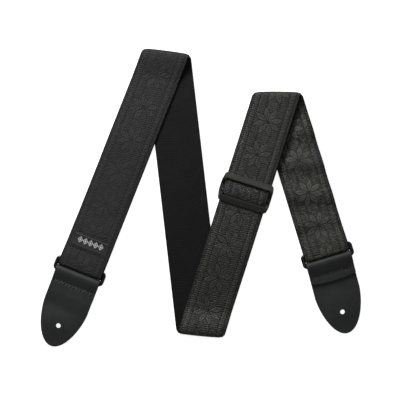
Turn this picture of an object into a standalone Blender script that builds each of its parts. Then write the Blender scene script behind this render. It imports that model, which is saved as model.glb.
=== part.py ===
"""Woven guitar strap laid in a zigzag: four runs of ribbon-faced webbing, two end rings with
leather tabs, a woven label and a length slider.

The strap lies on z = 0. Seen from above with +Y away from the viewer, the runs are, from left
to right: left run (rising), middle run (falling), up run (rising) and right run (falling).
Each fold is split at its outermost line, where its hinge lies.
"""

import math

import bmesh
import bpy
from mathutils import Matrix, Vector

MM = 0.001

# Strap section: backing webbing, a gap, and the patterned ribbon on its face.
STRAP_WIDTH = 50 * MM
WEBBING_THICKNESS = 1.0 * MM
RIBBON_THICKNESS = 0.4 * MM
RIBBON_WIDTH = 48 * MM
GAP = 0.3 * MM
STRAP_THICKNESS = WEBBING_THICKNESS + GAP + RIBBON_THICKNESS
HALF_THICKNESS = STRAP_THICKNESS / 2

# Heights of the strap's middle surface above the table.
FOLD_AXIS_HEIGHT = 4.5 * MM
ON_TABLE = HALF_THICKNESS
ON_ONE_LAYER = ON_TABLE + STRAP_THICKNESS + 0.35 * MM
FOLD_RADIUS = FOLD_AXIS_HEIGHT - ON_TABLE
INNER_FOLD_RADIUS = FOLD_AXIS_HEIGHT - ON_ONE_LAYER
FOLD_TOP = FOLD_AXIS_HEIGHT + FOLD_RADIUS
INNER_FOLD_TOP = FOLD_AXIS_HEIGHT + INNER_FOLD_RADIUS

# Each fold is split at its outermost line.
BEND_STEPS = 7
SPLIT_ANGLE = GAP / 2 / FOLD_RADIUS

# Plan of the zigzag: headings in degrees from +X, and lengths between outermost fold lines.
MIDDLE_POINT = Vector((-19.4, 4.3, 0)) * MM
LEFT_HEADING = 248.4
MIDDLE_HEADING = -83.4
UP_HEADING = 72.45
RIGHT_HEADING = -73.1
LEFT_LENGTH = 255.5 * MM
MIDDLE_LENGTH = 312.0 * MM
UP_LENGTH = 278.3 * MM
RIGHT_LENGTH = 183.6 * MM
# From the drawing's own origin to the middle of the outline seen from above.
FRAME_ORIGIN = Vector((0.5, 0, 0)) * MM

# Rings, each a rounded rectangle of round wire.
RING_WIRE_RADIUS = 2.0 * MM
RING_BAR_SPACING = 12.5 * MM
RING_WIDTH = 59.2 * MM
RING_CORNER_RADIUS = 2.8 * MM
LOOP_RADIUS = RING_WIRE_RADIUS + GAP + HALF_THICKNESS
LOOP_OUTER_RADIUS = LOOP_RADIUS + HALF_THICKNESS
LOOP_TOP = FOLD_AXIS_HEIGHT + LOOP_RADIUS
LOOP_BOTTOM = FOLD_AXIS_HEIGHT - LOOP_RADIUS
# The strap turns this far beyond the bar, so its loop nearly meets the leather.
LOOP_SLACK = 2.9 * MM
LEFT_FLAP_LENGTH = 34 * MM
LEFT_STITCH_FROM_BAR = 16.8 * MM

# Woven label on the left run, measured from the ring bar.
LABEL_LENGTH = 14 * MM
LABEL_WIDTH = 40 * MM
LABEL_FROM_BAR = 25.5 * MM
LABEL_THICKNESS = 0.5 * MM
LABEL_STITCH_INSET = 1.3 * MM

# Leather tabs.
LEATHER_THICKNESS = 2.2 * MM
LEATHER_ROLL_RADIUS = RING_WIRE_RADIUS + GAP + LEATHER_THICKNESS / 2
LEATHER_OUTER_RADIUS = LEATHER_ROLL_RADIUS + LEATHER_THICKNESS / 2
TAB_LENGTH = 86.5 * MM
TAB_HALF_WIDTH = 25.3 * MM
TAB_STRAIGHT_LENGTH = 40 * MM
TAB_FLAP_LENGTH = 27 * MM
TAB_STITCH_FROM_EDGE = 17 * MM
# The leather still slopes a little under the stitch row, so the thread lies this much higher.
TAB_STITCH_RISE = 0.35 * MM
STITCH_INSET = 3.5 * MM
# Sideways shift per length, by which the tabs lean towards the middle of the zigzag.
TAB_LEAN = {"left": -0.006, "right": 0.035}
HOLE_RADIUS = 2.7 * MM
HOLE_FROM_EDGE = 62.5 * MM
SLIT_LENGTH = 11 * MM
SLIT_WIDTH = 0.8 * MM

# Slider, a plate with two windows whose middle bar lies below the strap's upper layer.
SLIDER_FROM_FOLD = 163.4 * MM
SLIDER_WIDTH = 58.2 * MM
SLIDER_LENGTH = 31.6 * MM
SLIDER_BAR_WIDTH = 6.6 * MM
SLIDER_RAIL_WIDTH = 3.8 * MM
SLIDER_RAIL_BOW = 2.2 * MM
SLIDER_CORNER_RADIUS = 3.2 * MM
SLIDER_THICKNESS = 2.6 * MM
MIDDLE_BAR_WIDTH = 2.6 * MM
MIDDLE_BAR_HEIGHT = 3.5 * MM
OUTER_BAR_HEIGHT = FOLD_TOP + HALF_THICKNESS + GAP + SLIDER_THICKNESS / 2
ADJUSTER_RADIUS = 1.7 * MM + HALF_THICKNESS
ADJUSTER_TAIL_LENGTH = 24 * MM
ADJUSTER_LENGTH = 30 * MM
ADJUSTER_STITCH_FROM_BAR = 15 * MM
TAIL_SPACING = 2.1 * MM
RETURN_START = 38.5 * MM

# Sewing thread, which lies in waves on the surface that it holds.
THREAD_RADIUS = 0.3 * MM
STITCH_LENGTH = 4 * MM
THREAD_WAVE = 0.22 * MM

UP = Vector((0, 0, 1))


def clear_scene():
    for thing in list(bpy.data.objects):
        bpy.data.objects.remove(thing, do_unlink=True)


def srgb(red, green, blue):
    """Linear colour from 8-bit values."""
    def channel(value):
        value /= 255
        return value / 12.92 if value <= 0.04045 else ((value + 0.055) / 1.055) ** 2.4
    return (channel(red), channel(green), channel(blue), 1)


def material(name, colour, roughness, metallic=0.0):
    """A material of its own for one object."""
    made = bpy.data.materials.new(name)
    made.use_nodes = True
    shader = made.node_tree.nodes["Principled BSDF"]
    shader.inputs["Base Color"].default_value = colour
    shader.inputs["Roughness"].default_value = roughness
    shader.inputs["Metallic"].default_value = metallic
    made.diffuse_color = colour
    return made


def fabric(name):
    return material(name, srgb(46, 46, 45), 0.85)


def backing(name):
    return material(name, srgb(27, 28, 28), 0.9)


def leather(name):
    return material(name, srgb(44, 46, 46), 0.5)


def thread(name):
    return material(name, srgb(30, 30, 30), 0.7)


def ring_metal(name):
    return material(name, srgb(24, 24, 25), 0.35, 0.6)


def axis_empty(name, location, heading, parent=None):
    """An empty on a joint's axis: its +Y runs along the heading, and its +X across it."""
    made = bpy.data.objects.new(name, None)
    made.empty_display_size = 0.02
    bpy.context.collection.objects.link(made)
    turned = Matrix.Rotation(math.atan2(heading.y, heading.x) - math.pi / 2, 4, "Z")
    world = Matrix.Translation(location - FRAME_ORIGIN) @ turned
    if parent:
        made.parent = parent
        world = parent.matrix_world.inverted() @ world
    made.matrix_basis = world
    bpy.context.view_layer.update()
    return made


def add_object(name, vertices, faces, its_material, parent=None, local=False):
    """A mesh object from world points, or from points in its parent's frame."""
    mesh = bpy.data.meshes.new(name)
    if not local:
        vertices = [point - FRAME_ORIGIN for point in vertices]
    mesh.from_pydata([tuple(point) for point in vertices], [], faces)
    if parent and not local:
        mesh.transform(parent.matrix_world.inverted())
    solid = bmesh.new()
    solid.from_mesh(mesh)
    bmesh.ops.recalc_face_normals(solid, faces=solid.faces)
    solid.to_mesh(mesh)
    solid.free()
    mesh.materials.append(its_material)
    mesh.shade_smooth()
    mesh.set_sharp_from_angle(angle=math.radians(35))
    made = bpy.data.objects.new(name, mesh)
    bpy.context.collection.objects.link(made)
    made.parent = parent
    return made


def heading_vector(degrees):
    return Vector((math.cos(math.radians(degrees)), math.sin(math.radians(degrees)), 0))


def ease(value, start, end):
    """0 at start, 1 at end, level at both."""
    share = min(max((value - start) / (end - start), 0), 1)
    return share * share * (3 - 2 * share)


def spread(start, end, count):
    return [start + (end - start) * step / (count - 1) for step in range(count)]


class Row:
    """One line across a strip: its middle, the vector from there to its edge per metre of
    half width, and the unit normal on the ribbon's side."""

    def __init__(self, centre, across, normal):
        self.centre = centre
        self.across = across
        self.normal = normal

    def point(self, sideways, height=0.0):
        return self.centre + self.across * sideways + self.normal * height


class Run:
    """A straight stretch of the strap, from a point on its centre line along a heading."""

    def __init__(self, start, direction, side, face):
        self.start = start
        self.direction = direction
        self.side = side
        self.face = face

    def row(self, distance, height, skew=0.0):
        centre = self.start + self.direction * distance
        centre.z = height
        return Row(centre, self.side + self.direction * skew, UP * self.face)

    def turned_over(self):
        """The layer on the other side of a hairpin, on the same centre line."""
        return Run(self.start, self.direction, self.side, -self.face)


class Fold:
    """A half turn of the strap about a level axis, from one run to the next."""

    def __init__(self, incoming, tangent_point, out_direction, radius):
        self.incoming = incoming
        self.tangent_point = tangent_point
        self.radius = radius
        direction = incoming.direction
        self.line = (direction + out_direction).normalized()
        self.outward = (direction - out_direction).normalized()
        self.forward = direction.dot(self.outward)
        self.slip = direction.dot(self.line) / self.forward
        self.skew = -incoming.side.dot(self.outward) / self.forward
        side = incoming.side - self.outward * (2 * incoming.side.dot(self.outward))
        start = tangent_point + self.line * (math.pi * radius * self.slip)
        self.outgoing = Run(start, out_direction, side, -incoming.face)

    def row(self, angle, downwards=False):
        """The row at an angle round the bend, from 0 where it starts to a half turn."""
        upward = -1 if downwards else 1
        reach = self.radius * angle
        centre = self.tangent_point + self.line * (reach * self.slip)
        centre = centre + self.outward * (self.radius * math.sin(angle))
        centre.z = FOLD_AXIS_HEIGHT - upward * self.radius * math.cos(angle)
        across = self.incoming.side + self.incoming.direction * self.skew
        outer = self.outward * math.sin(angle) - UP * (upward * math.cos(angle))
        return Row(centre, across, outer * (-self.incoming.face * upward))

    def hinge_point(self):
        """On the outermost line, a hair outside the strap."""
        return self.row(math.pi / 2).centre + self.outward * (HALF_THICKNESS + GAP / 2)


def fold_at(incoming, distance, out_direction, radius):
    """A fold whose bend starts at a distance along the incoming run."""
    return Fold(incoming, incoming.row(distance, 0).centre, out_direction, radius)


def fold_inset(incoming, out_direction):
    """Distance along a run from a fold's outermost line back to where its bend starts."""
    outward = (incoming - out_direction).normalized()
    return (FOLD_RADIUS + HALF_THICKNESS) / incoming.dot(outward)


def lower_bend(fold):
    """Rows of a fold's lower half, from the table to just below the split."""
    return [fold.row(angle) for angle in spread(0, math.pi / 2 - SPLIT_ANGLE, BEND_STEPS)]


def upper_bend(fold):
    """Rows of a fold's upper half, from just above the split to the upper run."""
    return [fold.row(angle) for angle in spread(math.pi / 2 + SPLIT_ANGLE, math.pi, BEND_STEPS)]


def run_rows(run, start, end, height, skew_start=0.0, skew_end=0.0, count=24):
    """Rows along a run, whose height is a function of the distance."""
    rows = []
    for distance in spread(start, end, count):
        share = (distance - start) / (end - start)
        skew = skew_start + (skew_end - skew_start) * share
        rows.append(run.row(distance, height(distance), skew))
    return rows


def hairpin_rows(run, turn_distance, upper_first=True, count=13):
    """Rows round the end of a ring's loop, from its upper layer to the lower one, or back."""
    rows = []
    turn = spread(0, math.pi, count)
    for angle in (turn if upper_first else reversed(turn)):
        centre = run.start + run.direction * (turn_distance + LOOP_RADIUS * math.sin(angle))
        centre.z = FOLD_AXIS_HEIGHT + LOOP_RADIUS * math.cos(angle)
        outer = run.direction * math.sin(angle) + UP * math.cos(angle)
        rows.append(Row(centre, run.side, outer))
    return rows


def skin(sections, sides, closed=False):
    """Faces of a bar made of sections with the same number of sides, with its two ends."""
    faces = []
    for index in range(sections if closed else sections - 1):
        here, there = sides * index, sides * ((index + 1) % sections)
        for side in range(sides):
            following = (side + 1) % sides
            faces.append((here + side, here + following, there + following, there + side))
    if not closed:
        faces.append(tuple(range(sides)))
        faces.append(tuple(range(sides * (sections - 1), sides * sections)))
    return faces


def strip(name, rows, half_width, low, high, its_material, parent=None):
    """A closed solid along rows, between two heights on the side of each row's normal."""
    vertices = []
    for row in rows:
        for sideways, height in ((-1, low), (1, low), (1, high), (-1, high)):
            vertices.append(row.point(sideways * half_width, height))
    return add_object(name, vertices, skin(len(rows), 4), its_material, parent)


def strap_layers(prefix, rows, parent=None):
    """The backing webbing and the ribbon on its face, along the same rows."""
    top = -HALF_THICKNESS + WEBBING_THICKNESS
    strip(prefix + "_webbing", rows, STRAP_WIDTH / 2, -HALF_THICKNESS, top,
          backing(prefix + "_webbing"), parent)
    strip(prefix + "_ribbon", rows, RIBBON_WIDTH / 2, top + GAP, HALF_THICKNESS,
          fabric(prefix + "_ribbon"), parent)


def tube(name, points, flat, radius, sides, its_material, parent=None, closed=False, local=False):
    """A round wire along points, where flat is a direction square to every stretch of it."""
    vertices = []
    count = len(points)
    for index, point in enumerate(points):
        before = points[index - 1] if closed or index else point
        after = points[(index + 1) % count] if closed or index < count - 1 else point
        across = (after - before).normalized().cross(flat)
        for step in range(sides):
            turn = 2 * math.pi * step / sides
            vertices.append(point + flat * (radius * math.cos(turn)) + across * (radius * math.sin(turn)))
    return add_object(name, vertices, skin(count, sides, closed), its_material, parent, local)


def stitch_points(half_width, point_at):
    """Points of a row of stitches, drawn as one thread in waves above the surface it holds.

    point_at gives the point at a distance sideways and a height above that surface.
    """
    stitches = round(2 * half_width / STITCH_LENGTH)
    points = []
    for step in range(4 * stitches + 1):
        wave = THREAD_WAVE * (1 - math.cos(math.pi * step / 2)) / 2
        sideways = half_width * (step / (2 * stitches) - 1)
        points.append(point_at(sideways, GAP + THREAD_RADIUS + wave))
    return points


def stitch_row(name, row, half_width, surface, along, parent):
    """A row of stitches across a strip of the strap, where surface is its height over the row."""
    points = stitch_points(half_width, lambda sideways, height: row.point(sideways, surface + height))
    tube(name, points, along, THREAD_RADIUS, 5, thread(name), parent)


def ring_outline():
    """Centre line of a ring in its own frame: one bar on the X axis, the other at +Y."""
    half = RING_WIDTH / 2 - RING_WIRE_RADIUS
    radius = RING_CORNER_RADIUS
    corners = [(half - radius, RING_BAR_SPACING - radius, 0),
               (-half + radius, RING_BAR_SPACING - radius, 90),
               (-half + radius, radius, 180),
               (half - radius, radius, 270)]
    points = []
    for x, y, start in corners:
        for angle in spread(start, start + 90, 7):
            points.append(Vector((x, y, 0)) + heading_vector(angle) * radius)
    return points


def make_ring(name, parent):
    tube(name, ring_outline(), UP, RING_WIRE_RADIUS, 12, ring_metal(name), parent,
         closed=True, local=True)


def tab_half_width(from_edge):
    """Half the tab's width at a distance from its rolled edge: straight, then a rounded end."""
    beyond = max(from_edge - TAB_STRAIGHT_LENGTH, 0) / (TAB_LENGTH - TAB_STRAIGHT_LENGTH)
    return TAB_HALF_WIDTH * max(1 - beyond ** 1.6, 0) ** 0.5


def tab_sections(front_up):
    """(distance along Y, height, normal, half width) from the flap's end to the tip.

    Heights are from the bar's axis, and the normals point to the outside of the roll.
    """
    floor = -FOLD_AXIS_HEIGHT + LEATHER_THICKNESS / 2
    stacked = floor + LEATHER_THICKNESS + GAP
    roll = LEATHER_ROLL_RADIUS
    flap_end = TAB_FLAP_LENGTH - LEATHER_OUTER_RADIUS
    flap_side = -1 if front_up else 1

    def settle(side, distance):
        if side < 0:
            return -roll + (floor + roll) * ease(distance, 0, 10 * MM)
        lying = roll + (stacked - roll) * ease(distance, 0, 15 * MM)
        if front_up:
            lying += (floor - stacked) * ease(distance, flap_end + 1.5 * MM, flap_end + 20 * MM)
        return lying

    sections = []
    for distance in spread(flap_end, 1 * MM, 8):
        sections.append((distance, settle(flap_side, distance), UP * flap_side, TAB_HALF_WIDTH))
    for angle in spread(0, math.pi, 15):
        height = flap_side * roll * math.cos(angle)
        normal = Vector((0, -math.sin(angle), flap_side * math.cos(angle)))
        sections.append((-roll * math.sin(angle), height, normal, TAB_HALF_WIDTH))
    straight = TAB_STRAIGHT_LENGTH - LEATHER_OUTER_RADIUS
    tip = TAB_LENGTH - LEATHER_OUTER_RADIUS
    ahead = spread(1 * MM, straight, 13)
    ahead += [straight + (tip - straight) * math.sin(angle) for angle in spread(0.12, 1.5, 15)]
    for distance in ahead:
        half = tab_half_width(distance + LEATHER_OUTER_RADIUS)
        sections.append((distance, settle(-flap_side, distance), UP * -flap_side, half))
    return sections


def make_tab(side, front_up, parent):
    """A leather end: rolled round the ring's bar, its flap sewn to the back, with a hole."""
    sections = tab_sections(front_up)
    lean = TAB_LEAN[side]
    vertices = []
    for distance, height, normal, half in sections:
        centre = Vector((lean * max(distance, 0), distance, height))
        for sideways, offset in ((-half, -1), (half, -1), (half, 1), (-half, 1)):
            edge = centre + Vector((sideways, 0, 0))
            vertices.append(edge + normal * (offset * LEATHER_THICKNESS / 2))
    name = side + "_tab_leather"
    tab = add_object(name, vertices, skin(len(sections), 4), leather(name), parent, local=True)
    cut_button_hole(tab, side, lean, parent)

    stitch_at = TAB_STITCH_FROM_EDGE - LEATHER_OUTER_RADIUS
    top = -FOLD_AXIS_HEIGHT + 2 * LEATHER_THICKNESS + GAP + TAB_STITCH_RISE
    points = stitch_points(TAB_HALF_WIDTH - STITCH_INSET,
                           lambda sideways, height: Vector((sideways, stitch_at, top + height)))
    name = side + "_tab_stitching"
    tube(name, points, Vector((0, 1, 0)), THREAD_RADIUS, 5, thread(name), parent, local=True)


def cut_button_hole(tab, side, lean, parent):
    """A punched round hole with a slit from it towards the strap."""
    centre = HOLE_FROM_EDGE - LEATHER_OUTER_RADIUS
    bpy.ops.mesh.primitive_cylinder_add(vertices=24, radius=HOLE_RADIUS, depth=0.02)
    round_cutter = bpy.context.object
    bpy.ops.mesh.primitive_cube_add(size=1)
    slit_cutter = bpy.context.object
    slit_cutter.data.transform(Matrix.Diagonal((SLIT_WIDTH, SLIT_LENGTH + HOLE_RADIUS, 0.02, 1)))
    slit_centre = centre - (SLIT_LENGTH + HOLE_RADIUS) / 2
    for cutter, place, word in ((round_cutter, centre, "hole"), (slit_cutter, slit_centre, "slit")):
        cutter.name = side + "_" + word + "_cutter"
        cutter.parent = parent
        cutter.location = (lean * place, place, 0)
        cutter.rotation_euler = (0, 0, -math.atan(lean))
        cutter.hide_render = True
        cutter.display_type = "WIRE"
        cut = tab.modifiers.new(word, "BOOLEAN")
        cut.operation = "DIFFERENCE"
        cut.object = cutter
        cut.solver = "EXACT"


def slider_height(distance):
    """Height of the slider plate's middle surface at a distance along the strap."""
    return MIDDLE_BAR_HEIGHT + (OUTER_BAR_HEIGHT - MIDDLE_BAR_HEIGHT) * ease(
        abs(distance), MIDDLE_BAR_WIDTH, SLIDER_LENGTH / 2 - SLIDER_BAR_WIDTH)


def make_slider_frame(parent):
    """A sagging plate: two outer bars over the strap, a middle bar under it, and two rails."""
    half_length = SLIDER_LENGTH / 2
    bar_inner = half_length - SLIDER_BAR_WIDTH
    half_bar = MIDDLE_BAR_WIDTH / 2
    reach = [half_bar] + spread(MIDDLE_BAR_WIDTH, bar_inner, 7)
    reach += [half_length - SLIDER_CORNER_RADIUS * share for share in (1, 0.62, 0.34, 0.14, 0.02)]
    lines = [-value for value in reversed(reach)] + reach
    inner = SLIDER_WIDTH / 2 - SLIDER_RAIL_WIDTH
    vertices = []
    for distance in lines:
        outer = SLIDER_WIDTH / 2 - SLIDER_RAIL_BOW * (distance / half_length) ** 2
        into_corner = max(SLIDER_CORNER_RADIUS - (half_length - abs(distance)), 0)
        outer -= SLIDER_CORNER_RADIUS - math.sqrt(SLIDER_CORNER_RADIUS ** 2 - into_corner ** 2)
        column = min(inner, outer - 1 * MM)
        height = slider_height(distance) - MIDDLE_BAR_HEIGHT
        for sideways in (-outer, -column, column, outer):
            vertices.append(Vector((sideways, distance, height)))
    faces = []
    for index in range(len(lines) - 1):
        middle = abs(lines[index] + lines[index + 1]) / 2
        is_bar = middle < half_bar or middle > bar_inner
        for part in range(3):
            if part != 1 or is_bar:
                first = 4 * index + part
                faces.append((first, first + 1, first + 5, first + 4))
    frame = add_object("slider_frame", vertices, faces,
                       material("slider_frame", srgb(58, 57, 53), 0.4, 0.5), parent, local=True)
    thick = frame.modifiers.new("thickness", "SOLIDIFY")
    thick.thickness = SLIDER_THICKNESS
    thick.offset = 0
    thick.use_even_offset = True
    rounded = frame.modifiers.new("rounded", "BEVEL")
    rounded.width = 0.7 * MM
    rounded.segments = 2
    rounded.angle_limit = math.radians(50)


def return_height(distance):
    """Height of the strap's returning layer at a distance past the slider's middle bar."""
    low = MIDDLE_BAR_HEIGHT - ADJUSTER_RADIUS
    under_tail = MIDDLE_BAR_HEIGHT + ADJUSTER_RADIUS - TAIL_SPACING
    height = low + (under_tail - low) * ease(distance, 0, 14 * MM)
    return height + (INNER_FOLD_TOP - under_tail) * ease(distance, ADJUSTER_TAIL_LENGTH, 50 * MM)


def make_adjuster(up_run, bar_distance, parent):
    """The strap's end, sewn in a loop round the slider's middle bar."""
    under = up_run.turned_over()
    high = MIDDLE_BAR_HEIGHT + ADJUSTER_RADIUS
    clear = 1 * MM
    rows = run_rows(up_run, bar_distance + ADJUSTER_TAIL_LENGTH, bar_distance + clear,
                    lambda distance: high, count=6)
    for angle in spread(0, math.pi, 13):
        centre = under.row(bar_distance - ADJUSTER_RADIUS * math.sin(angle), 0).centre
        centre.z = MIDDLE_BAR_HEIGHT + ADJUSTER_RADIUS * math.cos(angle)
        outer = UP * math.cos(angle) - under.direction * math.sin(angle)
        rows.append(Row(centre, under.side, outer))
    rows += run_rows(under, bar_distance + clear, bar_distance + ADJUSTER_LENGTH,
                     lambda distance: return_height(distance - bar_distance), count=10)
    strap_layers("adjuster", rows, parent)
    stitched = under.row(bar_distance + ADJUSTER_STITCH_FROM_BAR,
                         return_height(ADJUSTER_STITCH_FROM_BAR))
    stitch_row("adjuster_stitching", stitched, STRAP_WIDTH / 2 - STITCH_INSET, HALF_THICKNESS,
               under.direction, parent)


class Plan:
    """The runs and folds of the laid strap, worked out from the middle run outwards."""

    def __init__(self):
        heading = heading_vector(MIDDLE_HEADING)
        side = Vector((-heading.y, heading.x, 0))
        self.forward = Run(MIDDLE_POINT, heading, side, -1)
        backward = Run(MIDDLE_POINT, -heading, side, -1)
        half = MIDDLE_LENGTH / 2

        direction = heading_vector(LEFT_HEADING)
        inset = fold_inset(backward.direction, direction)
        self.left_end = half - inset
        self.left_fold = fold_at(backward, self.left_end, direction, FOLD_RADIUS)
        self.left_bar = LEFT_LENGTH - LOOP_OUTER_RADIUS - inset

        direction = heading_vector(UP_HEADING)
        inset = fold_inset(heading, direction)
        self.up_start = half - inset
        self.bottom_fold = fold_at(self.forward, self.up_start, direction, FOLD_RADIUS)
        self.slider = SLIDER_FROM_FOLD - inset

        up_run = self.bottom_fold.outgoing
        direction = heading_vector(RIGHT_HEADING)
        right_inset = fold_inset(up_run.direction, direction)
        self.up_length = UP_LENGTH - inset - right_inset
        self.right_fold = fold_at(up_run, self.up_length, direction, FOLD_RADIUS)
        self.right_bar = RIGHT_LENGTH - LOOP_OUTER_RADIUS - right_inset

        # The upper layer of the right run goes back over the same fold line, inside it.
        right_run = self.right_fold.outgoing
        back = Run(right_run.start, -right_run.direction, right_run.side, -right_run.face)
        self.inner_fold = fold_at(back, 0, -up_run.direction, INNER_FOLD_RADIUS)


def make_middle_run(plan):
    rows = list(reversed(lower_bend(plan.left_fold)))
    rows += run_rows(plan.forward, -plan.left_end, plan.up_start, lambda distance: ON_TABLE,
                     -plan.left_fold.skew, plan.bottom_fold.skew, 8)[1:-1]
    rows += lower_bend(plan.bottom_fold)
    strap_layers("middle", rows)


def left_height(plan, distance):
    """Height of the left run: off its fold, over the middle run, the table and its own flap."""
    to_bar = plan.left_bar - distance
    height = FOLD_TOP + (ON_ONE_LAYER - FOLD_TOP) * ease(distance, 0, 30 * MM)
    height += (ON_TABLE - ON_ONE_LAYER) * ease(distance, 96 * MM, 140 * MM)
    height += (ON_ONE_LAYER - ON_TABLE) * ease(-to_bar, -60 * MM, -37 * MM)
    return height + (LOOP_TOP - ON_ONE_LAYER) * ease(-to_bar, -30 * MM, 0)


def loop_bottom_height(to_bar):
    """Height of the layer under a ring's bar, at a distance before the bar."""
    return ON_TABLE + (LOOP_BOTTOM - ON_TABLE) * ease(-to_bar, -10 * MM, 0)


def make_left_run(plan):
    """The left run with the loop that holds its ring, and the label sewn near the loop."""
    fold, bar = plan.left_fold, plan.left_bar
    run = fold.outgoing
    axis = axis_empty("left_fold_axis", fold.hinge_point(), fold.line)
    rows = upper_bend(fold)
    turn = bar + LOOP_SLACK
    rows += run_rows(run, 0, turn, lambda distance: left_height(plan, distance), fold.skew, 0, 40)[1:-1]
    rows += hairpin_rows(run, turn)
    rows += run_rows(run.turned_over(), turn, bar - LEFT_FLAP_LENGTH,
                     lambda distance: loop_bottom_height(bar - distance), count=8)[1:]
    strap_layers("left", rows, axis)

    def row_before_bar(to_bar):
        return run.row(bar - to_bar, left_height(plan, bar - to_bar))

    near, far = LABEL_FROM_BAR - LABEL_LENGTH / 2, LABEL_FROM_BAR + LABEL_LENGTH / 2
    low = HALF_THICKNESS + GAP
    high = low + LABEL_THICKNESS
    strip("label", [row_before_bar(to_bar) for to_bar in spread(near, far, 8)], LABEL_WIDTH / 2,
          low, high, material("label", srgb(20, 20, 21), 0.8), axis)
    stitch_row("label_stitching", row_before_bar(far - LABEL_STITCH_INSET),
               LABEL_WIDTH / 2 - LABEL_STITCH_INSET, high, run.direction, axis)
    stitch_row("left_loop_stitching", row_before_bar(LEFT_STITCH_FROM_BAR),
               STRAP_WIDTH / 2 - STITCH_INSET, HALF_THICKNESS, run.direction, axis)
    make_end("left", run, bar, True, axis)


def make_end(side, run, bar, front_up, axis):
    """The ring on a run's end and the leather tab on the ring."""
    point = run.row(bar, FOLD_AXIS_HEIGHT).centre
    ring_axis = axis_empty(side + "_ring_axis", point, run.direction, axis)
    make_ring(side + "_ring", ring_axis)
    point = point + run.direction * RING_BAR_SPACING
    make_tab(side, front_up, axis_empty(side + "_tab_axis", point, run.direction, ring_axis))


def up_height(distance):
    """Height of the up run: off its fold, over the middle run, then level to the right fold."""
    height = FOLD_TOP + (ON_ONE_LAYER - FOLD_TOP) * ease(distance, 0, 30 * MM)
    return height + (FOLD_TOP - ON_ONE_LAYER) * ease(distance, 42 * MM, 100 * MM)


def make_up_run(plan):
    """The up run, with the slider on it and the layer that returns under it to the slider."""
    fold, right_fold = plan.bottom_fold, plan.right_fold
    run = fold.outgoing
    axis = axis_empty("bottom_fold_axis", fold.hinge_point(), fold.line)
    rows = upper_bend(fold)
    rows += run_rows(run, 0, plan.up_length, up_height, fold.skew, right_fold.skew, 40)[1:-1]
    first_half = spread(0, math.pi / 2 - SPLIT_ANGLE, BEND_STEPS)
    rows += [right_fold.row(angle, downwards=True) for angle in first_half]
    strap_layers("up", rows, axis)

    slider_axis = axis_empty("slider_axis", run.row(plan.slider, MIDDLE_BAR_HEIGHT).centre,
                             run.direction, axis)
    make_slider_frame(slider_axis)
    make_adjuster(run, plan.slider, slider_axis)

    inner = plan.inner_fold
    split = GAP / 2 / INNER_FOLD_RADIUS
    rows = [inner.row(angle) for angle in spread(math.pi / 2 + split, math.pi, BEND_STEPS)]
    first = inner.outgoing.start
    last = run.row(plan.slider + RETURN_START, 0).centre
    for share in spread(0, 1, 14)[1:]:
        centre = first.lerp(last, share)
        to_slider = plan.up_length - plan.slider
        centre.z = return_height(to_slider + (RETURN_START - to_slider) * share)
        across = inner.outgoing.side + inner.outgoing.direction * (inner.skew * (1 - share))
        rows.append(Row(centre, across, UP * inner.outgoing.face))
    strap_layers("return", rows, axis)
    return axis


def make_right_run(plan, up_axis):
    """The right run: the outer layer on the table, round its ring, and back on top of itself."""
    fold, bar = plan.right_fold, plan.right_bar
    run = fold.outgoing
    axis = axis_empty("right_fold_axis", fold.hinge_point(), fold.line, up_axis)
    second_half = spread(math.pi / 2 + SPLIT_ANGLE, math.pi, BEND_STEPS)
    rows = [fold.row(angle, downwards=True) for angle in second_half]
    turn = bar + LOOP_SLACK
    rows += run_rows(run, 0, turn, lambda distance: loop_bottom_height(bar - distance),
                     fold.skew, 0, 12)[1:-1]
    rows += hairpin_rows(run, turn, upper_first=False)
    rows += run_rows(run.turned_over(), turn, 0,
                     lambda distance: ON_ONE_LAYER + (LOOP_TOP - ON_ONE_LAYER) * ease(
                         distance, bar - 30 * MM, bar), 0, fold.skew, 24)[1:-1]
    split = GAP / 2 / INNER_FOLD_RADIUS
    rows += [plan.inner_fold.row(angle) for angle in spread(0, math.pi / 2 - split, BEND_STEPS)]
    strap_layers("right", rows, axis)
    make_end("right", run, bar, False, axis)


clear_scene()
laid = Plan()
make_middle_run(laid)
make_left_run(laid)
make_right_run(laid, make_up_run(laid))
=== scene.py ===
"""Looks of the guitar strap: woven layers, leather ends, rings, slider, label and stitching,
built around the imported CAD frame. Lengths are in metres, in the CAD's own frame.
"""

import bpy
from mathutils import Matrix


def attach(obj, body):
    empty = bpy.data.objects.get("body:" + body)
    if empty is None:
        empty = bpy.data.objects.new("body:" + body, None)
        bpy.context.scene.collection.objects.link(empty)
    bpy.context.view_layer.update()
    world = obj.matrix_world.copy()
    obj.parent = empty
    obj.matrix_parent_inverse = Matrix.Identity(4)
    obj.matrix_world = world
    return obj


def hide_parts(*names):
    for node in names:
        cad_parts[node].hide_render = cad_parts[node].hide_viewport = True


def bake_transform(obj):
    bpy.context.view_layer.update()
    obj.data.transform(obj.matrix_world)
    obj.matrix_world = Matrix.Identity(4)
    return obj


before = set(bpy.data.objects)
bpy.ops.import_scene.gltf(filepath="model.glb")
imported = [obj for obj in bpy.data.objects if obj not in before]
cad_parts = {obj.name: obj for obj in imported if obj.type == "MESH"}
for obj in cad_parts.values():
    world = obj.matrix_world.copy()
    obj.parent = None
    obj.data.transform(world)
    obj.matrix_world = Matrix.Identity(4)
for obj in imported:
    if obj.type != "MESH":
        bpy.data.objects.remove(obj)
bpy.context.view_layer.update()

import math

import bmesh
import bpy
import numpy as np
from mathutils import Vector

MM = 0.001
UP = Vector((0, 0, 1))

# Strap section: the backing webbing, and the patterned ribbon sewn on its face.
STRAP_HALF_WIDTH = 25.2 * MM
RIBBON_HALF_WIDTH = 24.3 * MM
HALF_THICKNESS = 0.85 * MM
WEBBING_TOP = 0.3 * MM
RIBBON_BOTTOM = 0.33 * MM

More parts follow.
